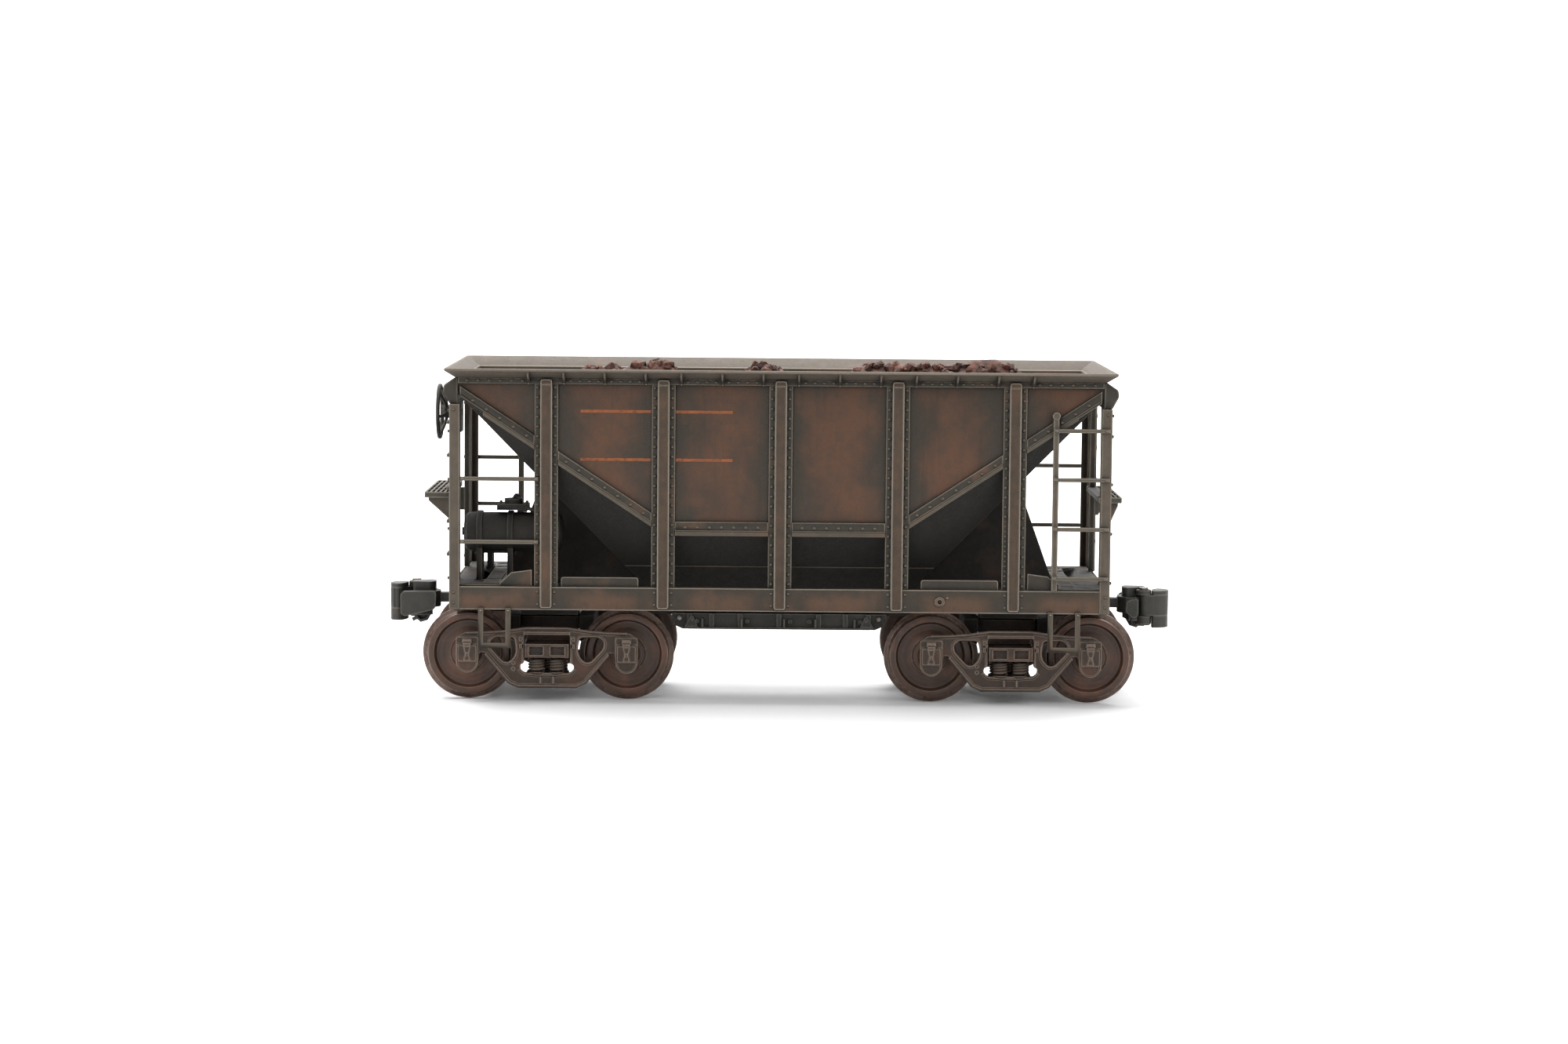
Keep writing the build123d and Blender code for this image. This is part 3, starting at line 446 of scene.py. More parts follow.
def weathered(name, base, dark, rust, worn_and_highlight, rust_from=0.5, rust_to=0.72, patch=9.0, bays=False,
              proud=None, sill_rust=False, edge_size=0.42, edge_strength=0.7, roughness=(0.6, 0.8),
              wash_and_shade_reach=2.5, shade=0.8, specular=0.25):
    """Matt paint with a soft rust wash, a dark wash with painted shade in the recesses, painted shade on the
    faces that look down, and worn edges with a painted highlight.

    `bays` puts the rust in the middle of each bay and darkens the sheets below the bands with dark paint and
    painted shade.
    `proud` is the colour of the parts that stand out from the car's sides, such as the crowns of the posts.
    `shade` is how dark the painted shade on the faces that look down becomes.
    """
    shader = Shader(name)
    broad = shader.noise(patch, 3)
    mottle = shader.noise(2.2, 4)
    fine = shader.noise(0.4, 2)
    streak = shader.noise(1.6, 3, (1, 1, 0.06))
    colour = base
    if proud:
        distance = shader.math("ABSOLUTE", shader.coordinate("Y"))
        colour = shader.mix(shader.range(distance, BAND_Y + 0.3, POST_Y - 0.02), base, proud)
    colour = shader.mix(shader.range(mottle, 0.25, 0.8, 0.55, 0.0), colour, dark)
    spread = broad
    if bays:
        spread = shader.math("ADD", shader.math("MULTIPLY", broad, 0.6),
                             shader.math("MULTIPLY", bay_mask(shader), 0.36))
    rusty = shader.range(spread, rust_from, rust_to, 0.0, 0.9)
    rusty = shader.math("MULTIPLY", rusty, shader.range(mottle, 0.2, 0.6, 0.6, 1.0))
    colour = shader.mix(rusty, colour, rust)
    colour = shader.mix(shader.range(streak, 0.5, 0.8, 0.0, 0.3), colour, dark)
    if sill_rust:
        low_sill = shader.math("MULTIPLY", shader.range(shader.coordinate("Z"), 25.0, 22.2),
                               shader.range(bay_mask(shader), 0.45, 0.9))
        spotted = shader.math("MULTIPLY", low_sill, shader.range(mottle, 0.2, 0.6, 0.4, 0.9))
        colour = shader.mix(spotted, colour, rust)
    if bays:
        # Darker sheets below the bands: dark paint with painted shade.
        colour = shader.mix(below_band(shader), colour, UNDER_BAND_PAINT_AND_SHADE)
    # Lighter edges found by the bevel node: worn paint with a painted highlight.
    wear_and_highlight = shader.math("MULTIPLY", shader.edges(edge_size), shader.range(fine, 0.1, 0.5, 0.35, 1.0))
    colour = shader.mix(shader.math("MULTIPLY", wear_and_highlight, edge_strength), colour, worn_and_highlight)
    # Dark wash with painted shade in the recesses that the AO node finds, and painted shade on the faces
    # that look down, both go towards this colour.
    wash_and_shade_colour = tuple(c * 0.3 for c in dark)
    recess_wash_and_shade = shader.math("SUBTRACT", 1.0, shader.hollow(wash_and_shade_reach))
    colour = shader.mix(shader.math("MULTIPLY", recess_wash_and_shade, 0.8), colour, wash_and_shade_colour)
    # Painted shade on the faces that look down.
    colour = shader.mix(shader.range(shader.facing_down(), 0.05, 0.45, 0.0, shade), colour, wash_and_shade_colour)
    shader.bump(shader.math("ADD", fine, shader.math("MULTIPLY", mottle, 0.6)), 0.03)
    gloss = shader.range(shader.math("ADD", mottle, fine), 0.7, 1.3, roughness[0], roughness[1])
    return shader.finish(colour, gloss, 0.0, specular)


# Colour of the sheets below the bands: dark paint with painted shade.
UNDER_BAND_PAINT_AND_SHADE = (0.021, 0.021, 0.018)
OLIVE = (0.047, 0.037, 0.028)
OLIVE_DARK = (0.026, 0.024, 0.019)
RUST_WASH = (0.098, 0.048, 0.029)
# Colour of the lighter edges: worn paint with a painted highlight.
WORN_AND_HIGHLIGHT = (0.25, 0.22, 0.17)

MATERIALS = {}


def make_materials():
    """One material for each slot of the record, and others for parts that wear differently."""
    made = MATERIALS
    made["body_paint"] = weathered("body_paint", OLIVE, OLIVE_DARK, RUST_WASH, WORN_AND_HIGHLIGHT, 0.42, 0.74, bays=True)
    made["trim_paint"] = weathered("trim_paint", (0.042, 0.036, 0.028), OLIVE_DARK, (0.098, 0.056, 0.036),
                                   WORN_AND_HIGHLIGHT, 0.50, 0.75, patch=12.0, proud=(0.078, 0.051, 0.034), sill_rust=True,
                                   edge_strength=1.0)
    made["corner"] = weathered("corner_paint", (0.100, 0.080, 0.060), (0.05, 0.042, 0.033),
                               (0.12, 0.072, 0.048), WORN_AND_HIGHLIGHT, 0.50, 0.75, patch=12.0, edge_strength=1.0)
    # Lighter paint for rivet heads, ribs and the bands' strips: worn paint with a painted highlight.
    made["rivet"] = weathered("rivet_heads", (0.088, 0.074, 0.056), OLIVE, (0.11, 0.068, 0.045), WORN_AND_HIGHLIGHT,
                              0.5, 0.75, edge_strength=0.3, wash_and_shade_reach=1.2)
    made["coping_paint"] = weathered("coping_paint", (0.118, 0.096, 0.075), (0.066, 0.054, 0.042),
                                     (0.15, 0.105, 0.078), (0.36, 0.32, 0.26), 0.52, 0.75,
                                     edge_strength=0.7, shade=0.42)
    made["detail_paint"] = weathered("detail_paint", (0.026, 0.024, 0.020), (0.013, 0.013, 0.012),
                                     (0.055, 0.036, 0.026), (0.15, 0.135, 0.108), 0.52, 0.75, patch=8.0)
    made["underframe_paint"] = weathered("underframe_paint", (0.020, 0.018, 0.015), (0.011, 0.010, 0.009),
                                         (0.045, 0.029, 0.021), (0.11, 0.095, 0.075), 0.5, 0.75, patch=8.0)
    made["truck_rust"] = weathered("truck_rust", (0.050, 0.034, 0.025), (0.024, 0.018, 0.014),
                                   (0.088, 0.046, 0.030), (0.24, 0.185, 0.145), 0.45, 0.7, patch=6.0,
                                   edge_strength=1.0, roughness=(0.45, 0.65), wash_and_shade_reach=3.0)
    made["wheel_rust"] = weathered("wheel_rust", (0.064, 0.034, 0.022), (0.034, 0.023, 0.018),
                                   (0.110, 0.047, 0.028), (0.22, 0.15, 0.11), 0.42, 0.66, patch=8.0,
                                   roughness=(0.36, 0.5), wash_and_shade_reach=2.0, shade=0.4, specular=0.35)
    made["coupler_metal"] = weathered("coupler_metal", (0.048, 0.046, 0.040), (0.024, 0.024, 0.021),
                                      (0.07, 0.05, 0.038), (0.19, 0.18, 0.155), 0.55, 0.75, patch=5.0,
                                      roughness=(0.4, 0.6), shade=0.5)
    made["spring_steel"] = weathered("spring_steel", (0.050, 0.036, 0.028), (0.024, 0.018, 0.015),
                                     (0.08, 0.050, 0.036), (0.17, 0.13, 0.10), 0.45, 0.7, patch=3.0,
                                     roughness=(0.42, 0.6), wash_and_shade_reach=1.2, shade=0.4)
    made["ladder"] = weathered("ladder_paint", (0.095, 0.080, 0.061), (0.05, 0.043, 0.034),
                               (0.11, 0.072, 0.05), (0.34, 0.30, 0.24), 0.52, 0.75, edge_strength=0.7,
                               wash_and_shade_reach=1.0, shade=0.6)
    made["grating"] = weathered("grating_paint", (0.075, 0.066, 0.052), (0.03, 0.027, 0.022),
                                (0.09, 0.06, 0.042), (0.30, 0.27, 0.22), 0.52, 0.75, edge_strength=0.8,
                                wash_and_shade_reach=1.2)
    made["tread"] = make_tread()
    made["steel"] = make_steel()
    made["ore"] = make_ore_material()
    made["stripe"] = make_stripe_material()


def make_tread():
    """Rolled steel worn by the rail and browned, with bright rail wear and a painted highlight on its edges.
    """
    shader = Shader("worn_tread")
    mottle = shader.noise(1.6, 4)
    colour = shader.mix(shader.range(mottle, 0.35, 0.7), (0.075, 0.043, 0.031), (0.12, 0.078, 0.058))
    # Pale edges of the tread and flange: bright rail wear with a painted highlight.
    edge_wear_and_highlight = shader.math("MULTIPLY", shader.edges(0.25), shader.range(shader.noise(0.8, 2), 0.35, 0.6))
    colour = shader.mix(shader.math("MULTIPLY", edge_wear_and_highlight, 0.7), colour, (0.42, 0.38, 0.33))
    shader.bump(shader.noise(0.5, 3), 0.015)
    return shader.finish(colour, shader.range(mottle, 0.3, 0.7, 0.32, 0.5), 0.35)


def make_steel():
    """Turned steel, lightly oiled and stained."""
    shader = Shader("steel")
    stain = shader.noise(1.5, 4)
    colour = shader.mix(shader.range(stain, 0.4, 0.7), (0.20, 0.18, 0.165), (0.09, 0.06, 0.048))
    shader.bump(shader.noise(0.3, 2), 0.01)
    return shader.finish(colour, shader.range(stain, 0.3, 0.7, 0.3, 0.55), 0.8)


def make_ore_material():
    """Crushed iron ore: each stone a little different, dark red-brown, with lighter specks of dust and
    painted glints, and painted shade between the stones.
    """
    shader = Shader("ore")
    stone = shader.noise(2.2, 2)
    grain = shader.noise(0.4, 4)
    colour = shader.mix(shader.range(stone, 0.35, 0.65), (0.044, 0.019, 0.014), (0.145, 0.062, 0.042))
    # Lighter specks from the grain noise: dust with painted glints.
    colour = shader.mix(shader.range(grain, 0.5, 0.75, 0.0, 0.55), colour, (0.23, 0.117, 0.084))
    # Painted shade in the gaps between the stones.
    gap_shade = shader.math("SUBTRACT", 0.9, shader.hollow(1.6), True)
    colour = shader.mix(gap_shade, colour, (0.012, 0.005, 0.004))
    shader.bump(grain, 0.12)
    return shader.finish(colour, shader.range(grain, 0.3, 0.7, 0.55, 0.85), 0.0, 0.3)


def make_stripe_material():
    """Faded orange-rust marking paint, rubbed thin in places."""
    shader = Shader("marking_paint")
    rub = shader.noise(1.0, 4)
    blotch = shader.noise(6.0, 3)
    colour = shader.mix(shader.range(rub, 0.42, 0.72), (0.25, 0.076, 0.027), (0.095, 0.046, 0.027))
    colour = shader.mix(shader.range(blotch, 0.45, 0.65, 0.0, 0.6), colour, (0.17, 0.065, 0.030))
    shader.bump(shader.noise(0.35, 2), 0.03)
    return shader.finish(colour, 0.7, 0.0, 0.25)


def paint_cad_nodes():
    """Every CAD node that shows gets its slot's material and rounded edges."""
    slots = {entry["node"]: entry["material_slot"] for entry in frame["record"]["subparts"]}
    special = {"corner_posts": "corner", "rim_ribs": "rivet", "door_frame": "coupler_metal",
               "brace_plates": "underframe_paint", "stirrup_steps": "rivet", "end_ladders": "ladder",
               "step_brackets": "grating"}
    rounding = {"hopper_shell": 0.12, "coping_rim": 0.14, "side_posts": 0.14, "corner_posts": 0.16,
                "side_sills": 0.14, "end_sills": 0.14, "end_chords": 0.3, "rim_ribs": 0.06}
    for name, node in frame["nodes"].items():
        node.data.materials.clear()
        node.data.materials.append(MATERIALS[special.get(name, slots[name])])
        weld = node.modifiers.new("weld", "WELD")
        weld.merge_threshold = 0.0005 * MM
        finish_edges(node, rounding.get(name, 0.1))


# ---------------------------------------------------------------- rivets and bolts
def seam_height(x):
    """Height of the top edge of the band under the side sheets."""
    return SEAM_Z + max(0.0, abs(x) - SEAM_X) * BAND_RISE


def band_middle(x):
    """Height of the rivets in that band."""
    return seam_height(x) - BAND_HEIGHT * 0.47


def rivet_row(piece, start, stop, pitch, normal, radius=0.38):
    """Rivets spread evenly between two points, about a pitch apart."""
    start, stop = Vector(start), Vector(stop)
    count = max(1, round((stop - start).length / pitch))
    for n in range(count + 1):
        piece.dome(start.lerp(stop, n / count), normal, radius, radius * 0.7)


def side_rivets(side):
    """All the rivets of one side of the body."""
    piece = Piece("rivets_near" if side < 0 else "rivets_far")
    out = (0, side, 0)
    band_y, flange_y, sill_y = side * BAND_Y, side * FLANGE_Y, side * SILL_Y
    top_z = BAND_HIGH.z - 0.62
    for end in SIDES:
        rivet_row(piece, (end * 54.6, band_y, top_z), (end * 66.4, band_y, top_z), 2.36, out)
        piece.dome((end * 50.6, band_y, top_z), out, 0.33, 0.22)
    for left in POSTS[:-1]:
        for first, last in ((5.1, 11.1), (13.7, 19.7)):
            rivet_row(piece, (left + first, band_y, top_z), (left + last, band_y, top_z), 2.0, out)
    foot_z = SILL_HIGH.z + 0.9
    for x in POSTS:
        for flank in SIDES:
            row_x = x + flank * 1.8
            inner_lower = abs(x) > 40 and flank * x < 0
            split_z = 41.0 if inner_lower else foot_z
            rivet_row(piece, (row_x, flange_y, split_z), (row_x, flange_y, 67.6), 2.05, out)
            if inner_lower:
                rivet_row(piece, (row_x, flange_y, foot_z), (row_x, flange_y, 40.0), 1.05, out, 0.26)
            for z in (SILL_LOW.z + 1.2, SILL_HIGH.z - 1.1):
                piece.dome((row_x, sill_y, z), out, 0.33, 0.22)
    bays = list(zip(POSTS[:-1], POSTS[1:])) + [(-BODY_X - 1, POSTS[0]), (POSTS[-1], BODY_X + 1)]
    for left, right in bays:
        x0, x1 = left + 4.2, right - 4.2
        if abs(x0) < 22 and abs(x1) < 22:
            z = band_middle(0)
            rivet_row(piece, (x0 + 0.5, band_y, z), (x1 - 0.5, band_y, z), 2.6, out)
        else:
            start = (x0, band_y, band_middle(x0))
            stop = (x1, band_y, band_middle(x1))
            rivet_row(piece, start, stop, 3.2, out, 0.4)
    return piece.done("car_body", "trim_paint", MATERIALS["rivet"])


def end_rivets():
    """Bolt heads on the corner posts, end sills and end chords."""
    piece = Piece("end_bolts")
    for end in SIDES:
        out = (end, 0, 0)
        for side in SIDES:
            for z in (62.6, 58.2, 48.0, 37.5, 27.0):
                piece.bolt((end * END_X, side * 24.7, z), out, 0.34, 0.4)
            for z in (62.8, 24.0, 21.8):
                piece.dome((end * 69.1, side * POST_Y, z), (0, side, 0), 0.33, 0.26)
            rivet_row(piece, (end * END_X, side * 10.0, 22.9), (end * END_X, side * 22.0, 22.9), 3.0, out)
        for y in (-13.0, 13.0):
            for z in (28.0, 33.0, 50.0, 62.0):
                piece.dome((end * 70.0, y, z), out, 0.33, 0.22)
    return piece.done("car_body", "trim_paint", MATERIALS["rivet"])


# ---------------------------------------------------------------- wheels, axles and trucks
def wheel_outline():
    """Half section of a wheel: (distance from the wheel's back, radius)."""
    back = [(0.0, 2.2), (0.0, 1.25), (2.75, 1.25), (2.75, 1.9)]
    hub = [(2.65, 2.25), (2.1, 2.5), (1.75, 2.9), (1.6, 3.6), (1.72, 4.0), (1.55, 4.4)]
    web = [(1.5, 5.2), (1.62, 5.6), (1.62, 6.0), (1.5, 6.4), (1.55, 6.9), (1.9, 7.15)]
    rim = [(2.45, 7.3), (2.78, 7.45), (2.85, 7.7), (2.85, 8.45), (2.75, 8.66), (2.5, 8.73)]
    tread = [(1.6, 8.80), (1.25, 8.87), (1.0, 9.1), (0.85, 9.55), (0.62, 9.9), (0.42, 10.0), (0.2, 9.85)]
    inner = [(0.15, 9.2), (0.2, 7.6), (0.6, 7.1), (0.95, 6.4), (1.0, 4.0), (0.7, 2.9), (0.2, 2.4)]
    return back + hub + web + rim + tread + inner


def wheelset(number):
    """Both wheels of one axle, with worn treads and rims."""
    x = AXLES[number - 1]
    piece = Piece("wheelset_%d_wheels" % number)
    outline = wheel_outline()
    for side in SIDES:
        piece.lathe(outline, (x, side * 14.15, AXLE_Z), (0, side, 0), 96)
        for n in range(6):
            turn = math.radians(60 * n + 15)
            spot = (x + 3.9 * math.cos(turn), side * 15.82, AXLE_Z + 3.9 * math.sin(turn))
            piece.dome(spot, (0, side, 0), 0.16, 0.1, 8, 2)
    for face in piece.bm.faces:
        middle = face.calc_center_median()
        radius = math.hypot(middle.x - x, middle.z - AXLE_Z)
        if radius > 8.69:
            face.material_index = 1
    return piece.done("wheelset_%d" % number, "wheel_rust", MATERIALS["wheel_rust"], MATERIALS["tread"],
                      stands_for=("wheels_%d" % number,), angle=28)


def frame_outline():
    """Half of a truck side frame's edge, from the top middle round to the bottom middle."""
    top = [(0, 16.0), (4.5, 16.0), (9.0, 15.3), (13.0, 15.0), (17.6, 14.9), (18.8, 14.2), (19.4, 12.6)]
    box = [(19.4, 8.7), (18.7, 7.0), (17.0, 6.1), (15.3, 7.0), (14.6, 8.7), (14.4, 10.7)]
    below = [(13.0, 10.5), (8.0, 4.1), (6.2, 3.2), (0, 3.2)]
    return top + box + below


def side_frame(truck, cx, side):
    """Cast side frame with raised flanges, journal boxes, spring seat and lugs."""
    where = "near" if side < 0 else "far"
    piece = Piece("truck_%s_side_frame_%s" % (truck, where))
    half = frame_outline()
    outline = [(cx + x, z) for x, z in half] + [(cx - x, z) for x, z in reversed(half[1:-1])]
    outline = rounded(outline, 0.9, 3)
    window = rounded([(6.4, 12.4), (6.9, 14.1), (11.2, 14.2), (12.5, 12.9), (12.2, 11.3), (9.6, 8.5),
                      (8.3, 8.2), (7.0, 9.2), (6.4, 10.6)], 0.9, 3)
    windows = [[(cx + end * x, z) for x, z in window] for end in SIDES]
    nest = [(4.9, 14.45), (4.9, 8.3), (5.7, 8.0), (5.7, 6.9), (4.9, 6.25)]
    middle = [(cx + x, z) for x, z in nest] + [(cx - x, z) for x, z in reversed(nest)]
    y0, y1 = sorted((side * 19.1, side * 20.3))
    piece.plate(outline, "y", y0, y1, [*windows, rounded(middle, 0.4, 3)])
    flange_y = side * 20.35
    lower = [(6.2, 3.4), (8.1, 4.25), (13.2, 10.3)]
    upper = [(4.5, 15.75), (9.0, 15.1), (13.0, 14.8), (17.0, 14.7)]
    seat = [(2.0, 5.75), (5.0, 6.0), (5.9, 6.9)]
    for line, radius in ((lower, 0.42), (upper, 0.36), (seat, 0.3)):
        both = [(-x, z) for x, z in reversed(line)] + line
        piece.tube([(cx + x, flange_y, z) for x, z in both], radius, 8)
    for loop in windows:
        piece.tube([(x, flange_y, z) for x, z in loop], 0.3, 8, closed=True)
    y_in, y_out = sorted((side * 20.2, side * 20.7))
    for x0, x1, z0, z1 in ((-4.9, 4.9, 14.5, 15.1), (-1.5, -1.2, 4.0, 5.5), (1.2, 1.5, 4.0, 5.5),
                           (-5.35, -4.95, 8.4, 13.4), (4.95, 5.35, 8.4, 13.4)):
        piece.box((cx + x0, y_in, z0), (cx + x1, y_out, z1))
    for end in SIDES:
        x = cx + end * 5.5
        for z in (12.0, 13.5):
            piece.box((x - 0.45, y_in, z - 0.45), (x + 0.45, y_out + 0.25, z + 0.45))
    ring = [(0, 0.22), (0, 0.42), (0.25, 0.42), (0.25, 0.22)]
    for z in (7.1, 8.4):
        piece.lathe(ring, (cx - 7.2, side * 20.3, z), (0, side, 0), 12)
    shelf_in, shelf_out = sorted((side * 14.9, side * 19.3))
    piece.box((cx - 4.5, shelf_in, 5.45), (cx + 4.5, shelf_out, 6.18))
    for end in SIDES:
        journal_box(piece, cx + end * 17.03, side)
    return piece.done("truck_%s" % truck, "truck_rust", bevel=0.12, angle=40,
                      stands_for=("truck_%s_frame_%s" % (truck, where),))


def journal_box(piece, x, side):
    """U-shaped journal box with its lid, hinge lug, spring clip and rim."""
    shape = [(x - 2.4, 14.0)] + [(x - 2.4, 9.0)] + arc(x, 8.5, 2.4, 180, 360, 10)[1:-1]
    shape += [(x + 2.4, 9.0), (x + 2.4, 14.0)]
    y0, y1 = sorted((side * 19.2, side * 20.9))
    piece.plate(rounded(shape, 0.5, 2), "y", y0, y1)
    rim = [(x - 2.2, 12.3), (x - 2.2, 8.6)] + arc(x, 8.5, 2.2, 180, 360, 12)[1:-1]
    rim += [(x + 2.2, 8.6), (x + 2.2, 12.3)]
    piece.tube([(px, side * 20.95, pz) for px, pz in rim], 0.2, 8, closed=True)
    lid = rounded([(x - 2.0, 12.2), (x + 2.0, 12.2), (x + 2.0, 8.7), (x - 2.0, 8.7)], 0.3, 2)
    y0, y1 = sorted((side * 20.85, side * 21.3))
    piece.plate(lid, "y", y0, y1)
    y0, y1 = sorted((side * 20.8, side * 21.65))
    lug = [(x - 0.95, 13.6), (x + 0.95, 13.6), (x + 0.8, 12.0), (x - 0.8, 12.0)]
    piece.plate(rounded(lug, 0.3, 2), "y", y0, y1)
    piece.tube([(x - 1.0, side * 21.4, 12.9), (x + 1.0, side * 21.4, 12.9)], 0.35, 10)
    y0, y1 = sorted((side * 21.2, side * 21.55))
    clip = [(x - 0.75, 12.2), (x + 0.75, 12.2), (x + 0.35, 10.4), (x + 0.7, 8.9),
            (x - 0.7, 8.9), (x - 0.35, 10.4)]
    piece.plate(rounded(clip, 0.25, 3), "y", y0, y1)
    piece.dome((x, side * 21.5, 10.3), (0, side, 0), 0.32, 0.15)


def coil(piece, centre, radius, wire, low, high, turns, way=1):
    """A wound spring between two heights."""
    steps = int(turns * 16)
    path = []
    for n in range(steps + 1):
        turn = way * 2 * math.pi * turns * n / steps
        z = low + wire + (high - low - 2 * wire) * n / steps
        path.append((centre[0] + radius * math.cos(turn), centre[1] + radius * math.sin(turn), z))
    piece.tube(path, wire, 7)


def springs(truck, cx):
    """Five coil springs under each end of the bolster, with inner coils."""
    piece = Piece("truck_%s_coils" % truck)
    low, high = 6.3, 9.55
    for side in SIDES:
        for y, offsets, radius in ((19.3, (-2.1, 2.1), 1.3), (16.2, (-3.0, 0, 3.0), 1.0)):
            for dx in offsets:
                spot = (cx + dx, side * y)
                coil(piece, spot, radius, 0.32, low, high, 4.3)
                coil(piece, spot, radius * 0.45, 0.22, low, high, 5.5, -1)
                piece.lathe([(0, 0), (0, radius + 0.3), (0.25, radius + 0.3), (0.25, 0)],
                            (*spot, 6.2), (0, 0, 1), 24)
    return piece.done("truck_%s" % truck, "spring_steel", angle=40,
                      stands_for=("truck_%s_springs" % truck,))


def brake_beams(truck, cx):
    """Brake shoes and their beams, inside the wheels."""
    piece = Piece("truck_%s_brake_beams" % truck)
    for end in SIDES:
        reach = cx + end * 7.1
        piece.tube([(reach, -12.8, 9.2), (reach, 12.8, 9.2)], 0.6, 10)
        for side in SIDES:
            shoe = arc(cx + end * 17.03, AXLE_Z, 9.1, 180 - 22, 180 + 22, 8) if end > 0 else \
                arc(cx + end * 17.03, AXLE_Z, 9.1, -22, 22, 8)
            back = arc(cx + end * 17.03, AXLE_Z, 10.3, 180 + 16, 180 - 16, 8) if end > 0 else \
                arc(cx + end * 17.03, AXLE_Z, 10.3, 16, -16, 8)
            y0, y1 = sorted((side * 15.5, side * 17.0))
            piece.plate(shoe + back, "y", y0, y1)
            piece.tube([(reach, side * 12.0, 9.2), (reach - end * 0.2, side * 15.8, 9.6)], 0.5, 8)
    return piece.done("truck_%s" % truck, "truck_rust", angle=35)


# ---------------------------------------------------------------- couplers
def coupler(letter, way):
    """Coupler head, guard arm and shank; way is -1 at the brake end, 1 at the other."""
    piece = Piece("coupler_%s_casting" % letter)
    piece.lathe([(0, 1.06), (0, 2.2), (2.2, 2.2), (2.2, 1.06)], (63.0, 0, 19.1), (0, 0, 1), 32)
    piece.box((64.8, -1.1, 19.15), (75.2, 1.1, 21.25))
    head = [(74.1, 1.5), (75.5, 3.6), (78.0, 4.55), (81.2, 4.6), (82.3, 4.2), (81.0, 3.2), (79.4, 1.3),
            (79.0, -0.5), (78.2, -1.3), (77.6, -4.4), (75.6, -4.0), (74.1, -1.5)]
    piece.plate(rounded(head, 0.5, 3), "z", 18.2, 21.7)
    belly = [(x, y * 0.94) for x, y in head[1:-2]] + [(76.6, -4.1)]
    piece.plate(rounded(belly, 0.4, 3), "z", 16.6, 18.3)
    cheek = [(74.9, 17.9), (81.6, 16.35), (82.4, 16.8), (82.5, 21.1), (81.9, 21.85),
             (75.2, 21.95), (74.7, 21.4)]
    piece.plate(rounded(cheek, 0.8, 4), "y", 3.9, 4.85)
    crown = [(75.1, 1.3), (76.0, 2.3), (79.9, 1.9), (80.2, -0.6), (79.3, -1.7), (76.0, -2.9), (75.1, -1.9)]
    piece.plate(rounded(crown, 0.6, 3), "z", 21.5, 23.75)
    piece.lathe([(0, 0), (0, 1.72), (0.9, 1.68), (1.1, 1.5), (1.1, 0)], (79.6, -3.0, 22.32), (0, 0, 1), 32)
    piece.lathe([(0, 0), (0, 1.4), (0.3, 1.7), (2.05, 1.72), (2.05, 0)], (79.6, -3.0, 15.62), (0, 0, 1), 32)
    piece.box((76.4, -3.9, 16.6), (79.4, -1.5, 17.65))
    shoulder = rounded([(75.8, 21.0), (75.6, 18.6), (77.2, 17.2), (78.3, 17.6), (78.3, 21.6)], 0.6, 3)
    piece.plate(shoulder, "y", -4.75, -3.8)
    lift_pin = [(76.4, 16.8), (77.2, 15.4), (78.4, 15.0), (79.2, 15.7), (80.2, 15.2)]
    piece.tube([(x, 0.6, z) for x, z in lift_pin], 0.45, 8)
    piece.box((77.2, -0.8, 15.1), (79.6, 0.2, 16.8))
    if way < 0:
        piece.half_turn()
    return piece.done("coupler_%s" % letter, "coupler_metal", bevel=0.3,
                      segments=3, angle=35, stands_for=("coupler_%s" % letter,))


def knuckle(letter, way):
    """Pivoting knuckle with its rounded nose."""
    piece = Piece("knuckle_%s_casting" % letter)
    jaw = [(78.65, -2.05), (80.4, -1.85), (81.9, -0.4), (82.5, 1.2), (83.5, 1.65), (84.7, 0.8),
           (85.28, -1.2), (84.6, -2.95), (83.0, -4.05), (79.6, -4.35), (78.65, -3.65)]
    piece.plate(rounded(jaw, 0.6, 3), "z", 17.78, 22.22)
    tall = [(81.4, -1.9), (81.7, -0.4), (82.5, 1.2), (83.5, 1.65), (84.7, 0.8), (85.28, -1.2),
            (84.6, -2.95), (83.0, -4.0), (81.4, -4.1)]
    piece.plate(rounded(tall, 0.6, 4), "z", 15.1, 23.2)
    if way < 0:
        piece.half_turn()
    return piece.done("knuckle_%s" % letter, "coupler_metal", bevel=0.4,
                      segments=4, angle=35, stands_for=("knuckle_%s" % letter,))


# ---------------------------------------------------------------- brake gear
def hand_wheel():
    """Dished hand-brake wheel with a round rim, spokes and hub."""
    low, high = corners("brake_wheel")
    y, z = (low.y + high.y) / 2, (low.z + high.z) / 2
    rim_x, hub_x = low.x + 0.5, high.x - 0.8
    piece = Piece("hand_wheel")
    ring = [(rim_x, y + 5.65 * math.cos(t), z + 5.65 * math.sin(t))
            for t in (2 * math.pi * n / 64 for n in range(64))]
    piece.tube(ring, 0.46, 12, closed=True)
    for n in range(6):
        turn = math.radians(60 * n + 10)
        out = Vector((0, math.cos(turn), math.sin(turn)))
        path = []
        for step in range(9):
            t = step / 8
            path.append(Vector((hub_x + (rim_x - hub_x) * t ** 1.7, y, z)) + out * (0.9 + 4.6 * t))
        piece.tube(path, 0.34, 8)
    piece.lathe([(-0.8, 0), (-0.8, 1.1), (-0.4, 1.5), (0.5, 1.45), (0.8, 1.1), (0.8, 0)],
                (hub_x, y, z), (1, 0, 0), 32)
    piece.bolt((hub_x - 0.75, y, z), (-1, 0, 0), 0.6, 0.35)
    return piece.done("brake_wheel", "detail_paint", angle=40,
                      stands_for=("brake_wheel",))


